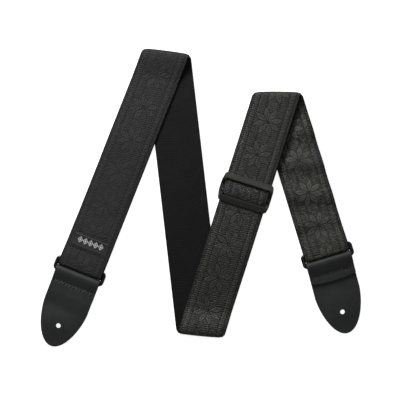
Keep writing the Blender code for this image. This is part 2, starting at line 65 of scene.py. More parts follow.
# Heights of the strap's middle surface above the table.
FOLD_AXIS_HEIGHT = 4.5 * MM
ON_TABLE = HALF_THICKNESS
ON_ONE_LAYER = 2.9 * MM
FOLD_RADIUS = FOLD_AXIS_HEIGHT - ON_TABLE
INNER_FOLD_RADIUS = FOLD_AXIS_HEIGHT - ON_ONE_LAYER
FOLD_TOP = FOLD_AXIS_HEIGHT + FOLD_RADIUS
INNER_FOLD_TOP = FOLD_AXIS_HEIGHT + INNER_FOLD_RADIUS

# Plan of the zigzag: headings in degrees from +X, and lengths between outermost fold lines.
MIDDLE_POINT = Vector((-19.9, 4.3, 0)) * MM
LEFT_HEADING = 248.4
MIDDLE_HEADING = -83.4
UP_HEADING = 72.45
RIGHT_HEADING = -73.1
LEFT_LENGTH = 255.5 * MM
MIDDLE_LENGTH = 312.0 * MM
UP_LENGTH = 278.3 * MM
RIGHT_LENGTH = 183.6 * MM

# Where the runs change height. The distances count from the run's start, or from the bar that
# the strap loops round. Those before a bar are negative.
LEFT_LEAVES_FOLD = (0, 30 * MM)
LEFT_LEAVES_MIDDLE_RUN = (96 * MM, 140 * MM)
LEFT_CLIMBS_FLAP = (-60 * MM, -37 * MM)
UP_LEAVES_FOLD = (3 * MM, 26 * MM)
UP_CLIMBS_TO_FOLD = (26 * MM, 104 * MM)
LOOP_CLIMBS_TO_TOP = (-30 * MM, 0)
LOOP_RISES_BELOW_BAR = (-10 * MM, 0)
RETURN_LEAVES_BAR = (0, 14 * MM)
RETURN_REACHES_FOLD = 38 * MM

# Rings and the loops of strap round their bars.
RING_WIRE_RADIUS = 2.0 * MM
RING_BAR_SPACING = 12.5 * MM
LOOP_RADIUS = 3.15 * MM
LOOP_OUTER_RADIUS = LOOP_RADIUS + HALF_THICKNESS
LOOP_TOP = FOLD_AXIS_HEIGHT + LOOP_RADIUS
LOOP_BOTTOM = FOLD_AXIS_HEIGHT - LOOP_RADIUS
LOOP_SLACK = 4.15 * MM
RING_HALF_WIDTH = 29.1 * MM
RING_CORNER_RADIUS = 2.8 * MM
LEFT_FLAP_LENGTH = 34 * MM
LEFT_STITCH_FROM_BAR = 16.8 * MM

# Woven label on the left run, measured from the ring bar.
LABEL_LENGTH = 14 * MM
LABEL_HALF_WIDTH = 20 * MM
LABEL_FROM_BAR = 25.5 * MM
LABEL_THICKNESS = 0.5 * MM
LABEL_EDGE = (17.5 * MM, 19.5 * MM)
LABEL_EDGE_DROP = 0.12 * MM
LABEL_SEAM_INSET = 1.3 * MM

# Leather tabs.
LEATHER_THICKNESS = 2.2 * MM
LEATHER_ROLL_RADIUS = 3.4 * MM
LEATHER_OUTER_RADIUS = LEATHER_ROLL_RADIUS + LEATHER_THICKNESS / 2
LEATHER_GAP = 0.3 * MM
LEATHER_EDGE_RADIUS = 0.55 * MM
TAB_LENGTH = 86.5 * MM
TAB_HALF_WIDTH = 25.3 * MM
TAB_STRAIGHT_LENGTH = 40 * MM
TAB_END_POWER = 1.6
TAB_FLAP_LENGTH = 27 * MM
FLAP_END = TAB_FLAP_LENGTH - LEATHER_OUTER_RADIUS
FLAP_END_BOW = 2 * MM
FLAP_BOW_LENGTH = 12 * MM
TAB_STITCH_FROM_EDGE = 17 * MM
STITCH_INSET = 3.5 * MM
TAB_LEAN = {"left": -0.006, "right": 0.035}
TAB_CROWN = {"left": 2.8 * MM, "right": 1.2 * MM}
HOLE_RADIUS = 2.6 * MM
HOLE_FROM_EDGE = 62.5 * MM
SLIT_LENGTH = 11 * MM
SLIT_WIDTH = 0.06 * MM

# Slider, and the strap's end sewn in a loop round its middle bar. Each outer bar tilts, from its
# height at the outer edge to a greater one at the inner edge.
SLIDER_FROM_FOLD = 163.4 * MM
SLIDER_HALF_WIDTH = 29.1 * MM
SLIDER_HALF_LENGTH = 15.8 * MM
SLIDER_BAR_WIDTH = 6.6 * MM
SLIDER_WINDOW_HALF_WIDTH = 25.22 * MM
SLIDER_RAIL_BOW = 2.2 * MM
SLIDER_CORNER_RADIUS = 3.2 * MM
SLIDER_THICKNESS = 2.3 * MM
MIDDLE_BAR_WIDTH = 2.6 * MM
MIDDLE_BAR_HEIGHT = 3.5 * MM
UPPER_BAR_HEIGHTS = (10.4 * MM, 12.0 * MM)
LOWER_BAR_HEIGHTS = (10.2 * MM, 12.9 * MM)
BAR_ROUNDING = 1.4
ADJUSTER_RADIUS = 2.55 * MM
ADJUSTER_TAIL_LENGTH = 24 * MM
ADJUSTER_LENGTH = 30 * MM
ADJUSTER_STITCH_FROM_BAR = 15 * MM
TAIL_SPACING = 2.1 * MM

# Sewing thread, and how far the zigzag seams on the leather and the strap swing.
THREAD_RADIUS = 0.39 * MM
STITCH_LENGTH = 4 * MM
TAB_SEAM_SWING = 1.3 * MM
STRAP_SEAM_SWING = 1.2 * MM

# Rows along a strip are this far apart, and a fold's own piece reaches this far past its bend.
# The bends have a set number of rows.
ROW_SPACING = 2.5 * MM
FOLD_REACH = 6 * MM
BEND_ROWS = 17
RING_LOOP_ROWS = 19

# The outermost edge of a fold bows out in its middle, its corners are pulled in, and it is a
# little narrower than the strap.
FOLD_BOW = 1.0 * MM
FOLD_BOW_DROP = 0.6 * MM
FOLD_CORNER_DROP = 1.5 * MM
FOLD_CORNER_SHARPNESS = 14
FOLD_NARROWING = 0.02

# The woven pattern: its repeat, and the distance from each run's start to the middle of a star.
STAR_REPEAT = 37.8 * MM
PATTERN_LENGTH = STAR_REPEAT / MM
STAR_ON_LEFT = 24.4 * MM
STAR_ON_UP_BELOW_SLIDER = 23.3 * MM
STAR_ON_UP_ABOVE_SLIDER = 12.4 * MM
STAR_ON_RIGHT = 35.5 * MM

# The right run's upper layer lies in waves, one for each star. They rise and fall at these shares
# of the star's repeat, and grow over these distances from the fold, from the ring's bar and
# from the edge of the up run.
RIGHT_WAVE_HEIGHT = 3.0 * MM
WAVE_SLANT = -0.3
WAVE_FALL = (0.08, 0.42)
WAVE_RISE = (0.55, 1)
WAVES_FROM_FOLD = (15 * MM, 35 * MM)
WAVES_FROM_BAR = (18 * MM, 36 * MM)
WAVES_FROM_UP_RUN = (STRAP_HALF_WIDTH, STRAP_HALF_WIDTH + 14 * MM)


# ---------------------------------------------------------------- strap layout

def heading_vector(degrees):
    return Vector((math.cos(math.radians(degrees)), math.sin(math.radians(degrees)), 0))


def ease(value, start, end):
    """0 at start, 1 at end, level at both, for a number or an array of them."""
    share = np.clip((value - start) / (end - start), 0, 1)
    return share * share * (3 - 2 * share)


def spread(start, end, count):
    """Evenly spaced numbers, both ends included."""
    return [start + (end - start) * step / (count - 1) for step in range(count)]


class Row:
    """One line across a strip: its middle, the vector to its edge per metre of half width,
    the unit normal on the ribbon's side, how far the edge of a fold bows outwards, and a
    function that gives the height of waves at points on the row."""

    def __init__(self, centre, across, normal, bow=Vector(), swell=None):
        self.centre = centre
        self.across = across
        self.normal = normal
        self.bow = bow
        self.swell = swell

    def point(self, sideways, height=0.0):
        return self.centre + self.across * sideways + self.normal * height


class Run:
    """A straight stretch of the strap, from a point on its centre line along a heading."""

    def __init__(self, start, direction, side, face):
        self.start = start
        self.direction = direction
        self.side = side
        self.face = face

    def row(self, distance, height, skew=0.0):
        centre = self.start + self.direction * distance
        centre.z = height
        return Row(centre, self.side + self.direction * skew, UP * self.face)

    def rows(self, start, end, height, skew_start=0.0, skew_end=0.0):
        """Rows between two distances, whose height is a function of the distance."""
        count = max(3, round(abs(end - start) / ROW_SPACING) + 1)
        made = []
        for distance in spread(start, end, count):
            share = (distance - start) / (end - start)
            skew = skew_start + (skew_end - skew_start) * share
            made.append(self.row(distance, height(distance), skew))
        return made

    def turned_over(self):
        """The layer on the other side of a hairpin, on the same centre line."""
        return Run(self.start, self.direction, self.side, -self.face)


class Fold:
    """A half turn of the strap about a level axis, from one run to the next."""

    def __init__(self, incoming, distance, out_direction, radius):
        self.incoming = incoming
        self.tangent_point = incoming.row(distance, 0).centre
        self.radius = radius
        direction = incoming.direction
        self.line = (direction + out_direction).normalized()
        self.outward = (direction - out_direction).normalized()
        self.forward = direction.dot(self.outward)
        self.slip = direction.dot(self.line) / self.forward
        self.skew = -incoming.side.dot(self.outward) / self.forward
        side = incoming.side - self.outward * (2 * incoming.side.dot(self.outward))
        start = self.tangent_point + self.line * (math.pi * radius * self.slip)
        self.outgoing = Run(start, out_direction, side, -incoming.face)

    def rows(self, start_angle, end_angle, downwards=False):
        """Rows round the bend, from 0 where it starts to a half turn where it ends."""
        upward = -1 if downwards else 1
        made = []
        for angle in spread(start_angle, end_angle, BEND_ROWS):
            centre = self.tangent_point + self.line * (self.radius * angle * self.slip)
            centre = centre + self.outward * (self.radius * math.sin(angle))
            centre.z = FOLD_AXIS_HEIGHT - upward * self.radius * math.cos(angle)
            across = self.incoming.side + self.incoming.direction * self.skew
            outer = self.outward * math.sin(angle) - UP * (upward * math.cos(angle))
            bow = self.outward * math.sin(angle) ** 2
            made.append(Row(centre, across, outer * (-self.incoming.face * upward), bow))
        return made


def fold_inset(incoming, out_direction):
    """Distance along a run from a fold's outermost line back to where its bend starts."""
    outward = (incoming - out_direction).normalized()
    return (FOLD_RADIUS + HALF_THICKNESS) / incoming.dot(outward)


def hairpin_rows(run, turn, onward=1, axis=FOLD_AXIS_HEIGHT, radius=LOOP_RADIUS, count=RING_LOOP_ROWS):
    """Rows round a bar, from the layer above it to the one below it. The bend points along the
    run where onward is 1, and back where it is -1."""
    made = []
    for angle in spread(0, math.pi, count):
        centre = run.row(turn + onward * radius * math.sin(angle), 0).centre
        centre.z = axis + radius * math.cos(angle)
        normal = run.direction * (onward * math.sin(angle)) + UP * math.cos(angle)
        made.append(Row(centre, run.side, normal))
    return made


def left_height(distance):
    """Height of the left run: off its fold, over the middle run, the table and its own flap."""
    height = FOLD_TOP + (ON_ONE_LAYER - FOLD_TOP) * ease(distance, *LEFT_LEAVES_FOLD)
    height += (ON_TABLE - ON_ONE_LAYER) * ease(distance, *LEFT_LEAVES_MIDDLE_RUN)
    height += (ON_ONE_LAYER - ON_TABLE) * ease(distance - left_bar, *LEFT_CLIMBS_FLAP)
    return height + (LOOP_TOP - ON_ONE_LAYER) * ease(distance - left_bar, *LOOP_CLIMBS_TO_TOP)


def up_height(distance):
    """Height of the up run: off its fold, down over the middle run, then up for the right fold."""
    height = FOLD_TOP + (ON_ONE_LAYER - FOLD_TOP) * ease(distance, *UP_LEAVES_FOLD)
    return height + (FOLD_TOP - ON_ONE_LAYER) * ease(distance, *UP_CLIMBS_TO_FOLD)


def loop_top_height(to_bar):
    """Height of the right run's upper layer, at a distance before the bar."""
    return ON_ONE_LAYER + (LOOP_TOP - ON_ONE_LAYER) * ease(-to_bar, *LOOP_CLIMBS_TO_TOP)


def right_upper_rows():
    """The right run's upper layer, which lies in waves."""
    rows = right_run.turned_over().rows(0, right_turn, lambda d: loop_top_height(right_bar - d),
                                        right_fold.skew, 0)
    for row in rows:
        row.swell = right_waves
    return rows


def right_waves(points):
    """Heights of the right run's waves at points on it."""
    from_start = points - np.array(right_run.start)
    distance = from_start @ np.array(right_run.direction)
    sideways = from_start @ np.array(right_run.side)
    phase = (distance + WAVE_SLANT * sideways - STAR_ON_RIGHT) / STAR_REPEAT % 1
    wave = np.where(phase > 0.5, ease(phase, *WAVE_RISE), 1 - ease(phase, *WAVE_FALL))
    within = ease(distance, *WAVES_FROM_FOLD) * ease(right_bar - distance, *WAVES_FROM_BAR)
    from_up_run = np.abs((points - np.array(up_run.start)) @ np.array(up_direction.cross(UP)))
    return RIGHT_WAVE_HEIGHT * wave * within * ease(from_up_run, *WAVES_FROM_UP_RUN)


def loop_bottom_height(to_bar):
    """Height of the layer under a ring's bar, at a distance before the bar."""
    return ON_TABLE + (LOOP_BOTTOM - ON_TABLE) * ease(-to_bar, *LOOP_RISES_BELOW_BAR)


def return_height(distance):
    """Height of the strap's returning layer at a distance past the slider's middle bar."""
    low = MIDDLE_BAR_HEIGHT - ADJUSTER_RADIUS
    under_tail = MIDDLE_BAR_HEIGHT + ADJUSTER_RADIUS - TAIL_SPACING
    height = low + (under_tail - low) * ease(distance, *RETURN_LEAVES_BAR)
    climb = ease(distance, ADJUSTER_TAIL_LENGTH, RETURN_REACHES_FOLD)
    return height + (INNER_FOLD_TOP - under_tail) * climb


heading = heading_vector(MIDDLE_HEADING)
middle_side = Vector((-heading.y, heading.x, 0))
middle_run = Run(MIDDLE_POINT, heading, middle_side, -1)
backward = Run(MIDDLE_POINT, -heading, middle_side, -1)

left_direction = heading_vector(LEFT_HEADING)
left_inset = fold_inset(-heading, left_direction)
left_end = MIDDLE_LENGTH / 2 - left_inset
left_fold = Fold(backward, left_end, left_direction, FOLD_RADIUS)
left_run = left_fold.outgoing
left_bar = LEFT_LENGTH - LOOP_OUTER_RADIUS - left_inset
left_turn = left_bar + LOOP_SLACK

up_direction = heading_vector(UP_HEADING)
bottom_inset = fold_inset(heading, up_direction)
up_start = MIDDLE_LENGTH / 2 - bottom_inset
bottom_fold = Fold(middle_run, up_start, up_direction, FOLD_RADIUS)
up_run = bottom_fold.outgoing
slider_bar = SLIDER_FROM_FOLD - bottom_inset

right_direction = heading_vector(RIGHT_HEADING)
right_inset = fold_inset(up_direction, right_direction)
up_end = UP_LENGTH - bottom_inset - right_inset
right_fold = Fold(up_run, up_end, right_direction, FOLD_RADIUS)
right_run = right_fold.outgoing
right_bar = RIGHT_LENGTH - LOOP_OUTER_RADIUS - right_inset
right_turn = right_bar + LOOP_SLACK

# The upper layer of the right run goes back over the same fold line, inside it.
back_run = Run(right_run.start, -right_run.direction, right_run.side, -right_run.face)
inner_fold = Fold(back_run, 0, -up_direction, INNER_FOLD_RADIUS)


def adjuster_rows():
    """The strap's end: over the slider's middle bar, round it and back under itself."""
    clear = 1 * MM
    above = up_run.rows(slider_bar + ADJUSTER_TAIL_LENGTH, slider_bar + clear,
                        lambda distance: MIDDLE_BAR_HEIGHT + ADJUSTER_RADIUS)
    round_bar = hairpin_rows(up_run, slider_bar, -1, MIDDLE_BAR_HEIGHT, ADJUSTER_RADIUS, BEND_ROWS)
    below = up_run.turned_over().rows(slider_bar + clear, slider_bar + ADJUSTER_LENGTH,
                                      lambda distance: return_height(distance - slider_bar))
    return above + round_bar + below


def return_rows():
    """The layer that runs on from the slider, under the up run, to the inner fold."""
    first = up_run.row(slider_bar + ADJUSTER_LENGTH, 0).centre
    last = inner_fold.outgoing.start
    to_fold = up_end - slider_bar
    count = round((last - first).length / ROW_SPACING) + 1
    rows = []
    for share in spread(0, 1, count):
        centre = first.lerp(last, share)
        centre.z = return_height(ADJUSTER_LENGTH + (to_fold - ADJUSTER_LENGTH) * share)
        across = inner_fold.outgoing.side + inner_fold.outgoing.direction * (inner_fold.skew * share)
        rows.append(Row(centre, across, UP * inner_fold.outgoing.face))
    return rows


def whole_strap():
    """The strap from its sewn end to its other end, as named stretches in order."""
    half_turn = math.pi
    return [
        ("adjuster", adjuster_rows()),
        ("return", return_rows()),
        ("right_inner_fold", inner_fold.rows(half_turn, 0)),
        ("right_upper", right_upper_rows()),
        ("right_loop", hairpin_rows(right_run, right_turn)),
        ("right_lower", right_run.rows(right_turn, 0, lambda d: loop_bottom_height(right_bar - d),
                                       0, right_fold.skew)),
        ("right_outer_fold", right_fold.rows(half_turn, 0, downwards=True)),
        ("up", up_run.rows(up_end, 0, up_height, right_fold.skew, bottom_fold.skew)),
        ("bottom_fold", bottom_fold.rows(half_turn, 0)),
        ("middle", middle_run.rows(up_start, -left_end, lambda d: ON_TABLE,
                                   bottom_fold.skew, -left_fold.skew)),
        ("left_fold", left_fold.rows(0, half_turn)),
        ("left", left_run.rows(0, left_turn, left_height, left_fold.skew, 0)),
        ("left_loop", hairpin_rows(left_run, left_turn)),
        ("left_flap", left_run.turned_over().rows(
            left_turn, left_bar - LEFT_FLAP_LENGTH, lambda d: loop_bottom_height(left_bar - d))),
    ]


# ---------------------------------------------------------------- the strap's own coordinates

class Strap:
    """The whole strap as rows in order, with the woven pattern's coordinate along it."""

    COLUMNS = np.linspace(-STRAP_HALF_WIDTH, STRAP_HALF_WIDTH, 21)

    def __init__(self, stretches):
        self.rows = []
        self.first = {}
        self.last = {}
        for name, rows in stretches:
            self.first[name] = max(len(self.rows) - 1, 0)
            self.rows += rows[1:] if self.rows else rows
            self.last[name] = len(self.rows) - 1
        grid = np.array([self.place(row, self.COLUMNS) for row in self.rows])
        steps = np.linalg.norm(np.diff(grid, axis=0), axis=2)
        self.lengths = np.vstack([np.zeros(len(self.COLUMNS)), np.cumsum(steps, axis=0)])
        self.centre_lengths = self.lengths[:, len(self.COLUMNS) // 2]
        self.pattern = self.lengths + self.pattern_shifts()[:, None]

    @staticmethod
    def place(row, sideways):
        """Points on a row, where the edge of a fold bows out in the middle and in at its corners."""
        share = np.abs(sideways) / STRAP_HALF_WIDTH
        bow = FOLD_BOW - FOLD_BOW_DROP * share ** 2 - FOLD_CORNER_DROP * share ** FOLD_CORNER_SHARPNESS
        sideways = sideways * (1 - FOLD_NARROWING * row.bow.length)
        points = np.array(row.centre) + np.outer(sideways, row.across) + np.outer(bow, row.bow)
        if row.swell:
            points[:, 2] += row.swell(points)
        return points

    def pattern_shifts(self):
        """Slides of the pattern along the strap that bring the stars to their places. Where two
        neighbouring runs differ, the slide changes gradually over a hidden stretch."""
        def shift(stretch, to_star, near=0.0):
            place = self.centre_lengths[self.first[stretch]] + to_star
            return near - (place + near + STAR_REPEAT / 2) % STAR_REPEAT + STAR_REPEAT / 2

        right = shift("right_upper", STAR_ON_RIGHT)
        above = shift("up", up_end - STAR_ON_UP_ABOVE_SLIDER, right)
        below = shift("up", up_end - STAR_ON_UP_BELOW_SLIDER, above)
        left = shift("left", STAR_ON_LEFT, below)
        slider = self.centre_lengths[self.first["up"]] + up_end - slider_bar
        reach = SLIDER_HALF_LENGTH - SLIDER_BAR_WIDTH / 2
        knots = [(self.centre_lengths[self.first["right_lower"]], right),
                 (self.centre_lengths[self.last["right_lower"]], above),
                 (slider - reach, above),
                 (slider + reach, below),
                 (self.centre_lengths[self.first["middle"]], below),
                 (self.centre_lengths[self.last["middle"]], left)]
        return np.interp(self.centre_lengths, *zip(*knots))


# ---------------------------------------------------------------- mesh building

def add_object(name, data):
    """A new object in the scene."""
    made = bpy.data.objects.new(name, data)
    bpy.context.scene.collection.objects.link(made)
    return made


# Faces that meet more sharply than this, in degrees, keep a crease.
CREASE_ANGLE = 50
CUT_CREASE_ANGLE = 45


def add_piece(name, vertices, faces, material, uvs=None):
    """A smooth mesh object. uvs holds one pair of coordinates per vertex."""
    mesh = bpy.data.meshes.new(name)
    mesh.from_pydata([tuple(map(float, point)) for point in vertices], [], faces)
    if uvs is not None:
        layer = mesh.uv_layers.new(name="weave")
        corners = np.zeros(len(mesh.loops), int)
        mesh.loops.foreach_get("vertex_index", corners)
        layer.data.foreach_set("uv", np.asarray(uvs, float)[corners].ravel())
    solid = bmesh.new()
    solid.from_mesh(mesh)
    bmesh.ops.recalc_face_normals(solid, faces=solid.faces)
    solid.to_mesh(mesh)
    solid.free()
    mesh.materials.append(material)
    mesh.shade_smooth()
    mesh.set_sharp_from_angle(angle=math.radians(CREASE_ANGLE))
    return add_object(name, mesh)


def skin(sections, sides, closed=False):
    """Faces of a bar made of sections with the same number of sides, with its two ends."""
    faces = []
    for index in range(sections if closed else sections - 1):
        here, there = sides * index, sides * ((index + 1) % sections)
        for side in range(sides):
            following = (side + 1) % sides
            faces.append((here + side, here + following, there + following, there + side))
    if not closed:
        faces.append(tuple(range(sides)))
        faces.append(tuple(range(sides * (sections - 1), sides * sections)))
    return faces


ROUND_EDGE_ANGLES = spread(-80, 80, 7)


def profile(half_width, low, high, columns, relief):
    """The outline of a woven strip's section as (sideways, height) pairs, with round edges.

    relief gives how far the face lies above high, at a distance from the middle.
    """
    radius = (high - low) / 2
    middle = (high + low) / 2
    outline = []
    for side in (1, -1):
        for angle in ROUND_EDGE_ANGLES:
            turn = math.radians(angle * side)
            outline.append((side * (half_width - radius + radius * math.cos(turn)),
                            middle + radius * math.sin(turn)))
        if side > 0:
            outline += [(x, high + relief(abs(x))) for x in reversed(columns)]
        else:
            outline += [(x, low) for x in columns]
    return np.array(outline)


def mirrored(distances):
    """Places on both sides of the middle, at distances in millimetres, from edge to edge."""
    return [-x * MM for x in reversed(distances)] + [0.0] + [x * MM for x in distances]


# The depth of the grooves woven and sewn beside the rope bands, at distances from the ribbon's
# middle, and the distances where its face has a vertex, all in millimetres.
RIBBON_GROOVES = [(0, 0), (14.6, 0.02), (15.5, 0.17), (16.4, 0), (20.6, 0), (21.3, 0.15),
                  (22.4, 0.26), (23.4, 0.14)]
RIBBON_COLUMNS = [4, 8, 12, 14.6, 15.5, 16.4, 18.5, 20.6, 21.3, 22.4, 23.4]
WEBBING_COLUMNS = [4, 8, 12, 16, 20, 23]


def ribbon_relief(distance):
    return -float(np.interp(distance / MM, *zip(*RIBBON_GROOVES))) * MM


SECTIONS = {
    "ribbon": profile(RIBBON_HALF_WIDTH, RIBBON_BOTTOM, HALF_THICKNESS, mirrored(RIBBON_COLUMNS),
                      ribbon_relief),
    "webbing": profile(STRAP_HALF_WIDTH, -HALF_THICKNESS, WEBBING_TOP, mirrored(WEBBING_COLUMNS),
                       lambda distance: 0.0),
}


def woven_strip(name, strap, first, last, layer, material):
    """One layer of the strap between two of its rows."""
    section = SECTIONS[layer]
    vertices = []
    uvs = []
    for index in range(first, last + 1):
        row = strap.rows[index]
        vertices.extend(strap.place(row, section[:, 0]) + np.outer(section[:, 1], row.normal))
        along = np.interp(section[:, 0], strap.COLUMNS, strap.pattern[index]) / STAR_REPEAT
        uvs.extend(zip(along, 0.5 + section[:, 0] / (2 * STRAP_HALF_WIDTH)))
    return add_piece(name, vertices, skin(last - first + 1, len(section)), material, uvs)


def tube(name, points, flat, radius, sides, material, closed=False):
    """A round wire along points, where flat is a direction square to every stretch of it."""
    vertices = []
    count = len(points)
    for index, point in enumerate(points):
        before = points[index - 1] if closed or index else point
        after = points[(index + 1) % count] if closed or index < count - 1 else point
        forward = (after - before).normalized()
        across = forward.cross(flat).normalized()
        lift = across.cross(forward)
        for step in range(sides):
            turn = 2 * math.pi * step / sides
            out = lift * math.cos(turn) + across * math.sin(turn)
            vertices.append(point + out * radius)
    return add_piece(name, vertices, skin(count, sides, closed), material)


# ---------------------------------------------------------------- material nodes

def add_node(tree, kind, inputs, output=0, **settings):
    """The output of a new shader node. inputs holds a number, a colour or a Value for each slot."""
    node = tree.nodes.new("ShaderNode" + kind)
    for setting, value in settings.items():
        setattr(node, setting, value)
    for slot, value in inputs.items():
        if isinstance(value, Value):
            tree.links.new(value.socket, node.inputs[slot])
        else:
            node.inputs[slot].default_value = value
    return Value(tree, node.outputs[output])


class Value:
    """The output of a node, which takes part in sums."""

    def __init__(self, tree, socket):
        self.tree = tree
        self.socket = socket

    def math(self, operation, *others):
        return add_node(self.tree, "Math", dict(enumerate((self, *others))), operation=operation)

    def __add__(self, other):
        return self.math("ADD", other)

    def __sub__(self, other):
        return self.math("SUBTRACT", other)

    def __rsub__(self, other):
        return (self * -1) + other

    def __mul__(self, other):
        return self.math("MULTIPLY", other)

    def __truediv__(self, other):
        return self.math("DIVIDE", other)

    def size(self):
        return self.math("ABSOLUTE")

    def wave(self, period):
        """From -1 to 1 and back over each period."""
        return (self * (2 * math.pi / period)).math("SINE")

    def least(self, other):
        return self.math("MINIMUM", other)

    def most(self, other):
        return self.math("MAXIMUM", other)

    def step(self, low, high):
        """0 at low, 1 at high, smooth between them. low may be the larger one."""
        backwards = low > high
        inputs = {"Value": self, "From Min": min(low, high), "From Max": max(low, high),
                  "To Min": float(backwards), "To Max": float(not backwards)}
        return add_node(self.tree, "MapRange", inputs, "Result", interpolation_type="SMOOTHSTEP",
                        clamp=True)


def srgb(red, green, blue):
    """Linear colour from 8-bit values."""
    def channel(value):
        value /= 255
        return value / 12.92 if value <= 0.04045 else ((value + 0.055) / 1.055) ** 2.4
    return (channel(red), channel(green), channel(blue), 1)


class Look:
    """A material being made, with the nodes that several materials share."""

    def __init__(self, name, roughness, **sockets):
        self.material = bpy.data.materials.new(name)
        self.material.use_nodes = True
        self.tree = self.material.node_tree
        self.shader = self.tree.nodes["Principled BSDF"]
        self.shader.inputs["Roughness"].default_value = roughness
        for socket, value in sockets.items():
            self.shader.inputs[socket.replace("_", " ")].default_value = value

    def weave_map(self):
        """The two coordinates of the UV map along and across the weave."""
        place = add_node(self.tree, "UVMap", {}, "UV", uv_map="weave")
        return [add_node(self.tree, "SeparateXYZ", {0: place}, part) for part in (0, 1)]

    def woven_place(self):
        """Millimetres along from the nearest star's middle, and sideways from the strap's middle."""
        along, across = self.weave_map()
        along = (along + 0.5).math("FRACT") - 0.5
        return along * PATTERN_LENGTH, (across - 0.5) * (2 * STRAP_HALF_WIDTH / MM)

    def texture(self, kind, output, size, **values):
        """A texture in the object's space, whose lumps have a size in metres."""
        place = add_node(self.tree, "TexCoord", {}, "Object")
        return add_node(self.tree, "Tex" + kind, {"Vector": place, "Scale": 1 / size, **values}, output)

    def noise(self, size, detail=2.0, roughness=0.5):
        return self.texture("Noise", 0, size, Detail=detail, Roughness=roughness)

    def mixed(self, share, first, second):
        """A colour from first, where share is 0 or less, to second, where it is 1 or more."""
        return add_node(self.tree, "Mix", {0: share, 6: first, 7: second}, 2, data_type="RGBA",
                        clamp_factor=True)

    def connect(self, value, socket):
        self.tree.links.new(value.socket, self.shader.inputs[socket])

    def colour(self, value):
        self.connect(value, "Base Color")

    def roughness(self, value):
        self.connect(value, "Roughness")

    def relief(self, height, depth, strength):
        """Bump from a height from 0 to 1, which is depth metres high."""
        bump = {"Height": height, "Distance": depth, "Strength": strength}
        self.connect(add_node(self.tree, "Bump", bump), "Normal")


# The ribbon's pattern, in millimetres: a star's eight leaves, which have rounded tips and a gap
# between them, then from the middle to the edge the star's field, the rope band and a seam.
LEAF_HALF_ANGLE = math.pi / 8
LEAF_TIP = 15.4
LEAF_ROUNDNESS = 1.2
LEAF_GAP = 0.55
RIBBON_LOZENGE_REACH = 7.6
RIBBON_LOZENGE_PITCH = 3.1
BORDER_RIB_PITCH = 2.0
FIELD_EDGE = 15.0
ROPE_INNER, ROPE_OUTER = 16.2, 20.8
ROPE_STRANDS = round(PATTERN_LENGTH / 3.6)
ROPE_SLANT = 0.55
RIBBON_SEAM = 22.4

# Threads in one repeat of the star.
RIBBON_WEFTS = 27
RIBBON_RIBS = 16
FINE_WEFTS = 42
WEBBING_WEFTS = 21


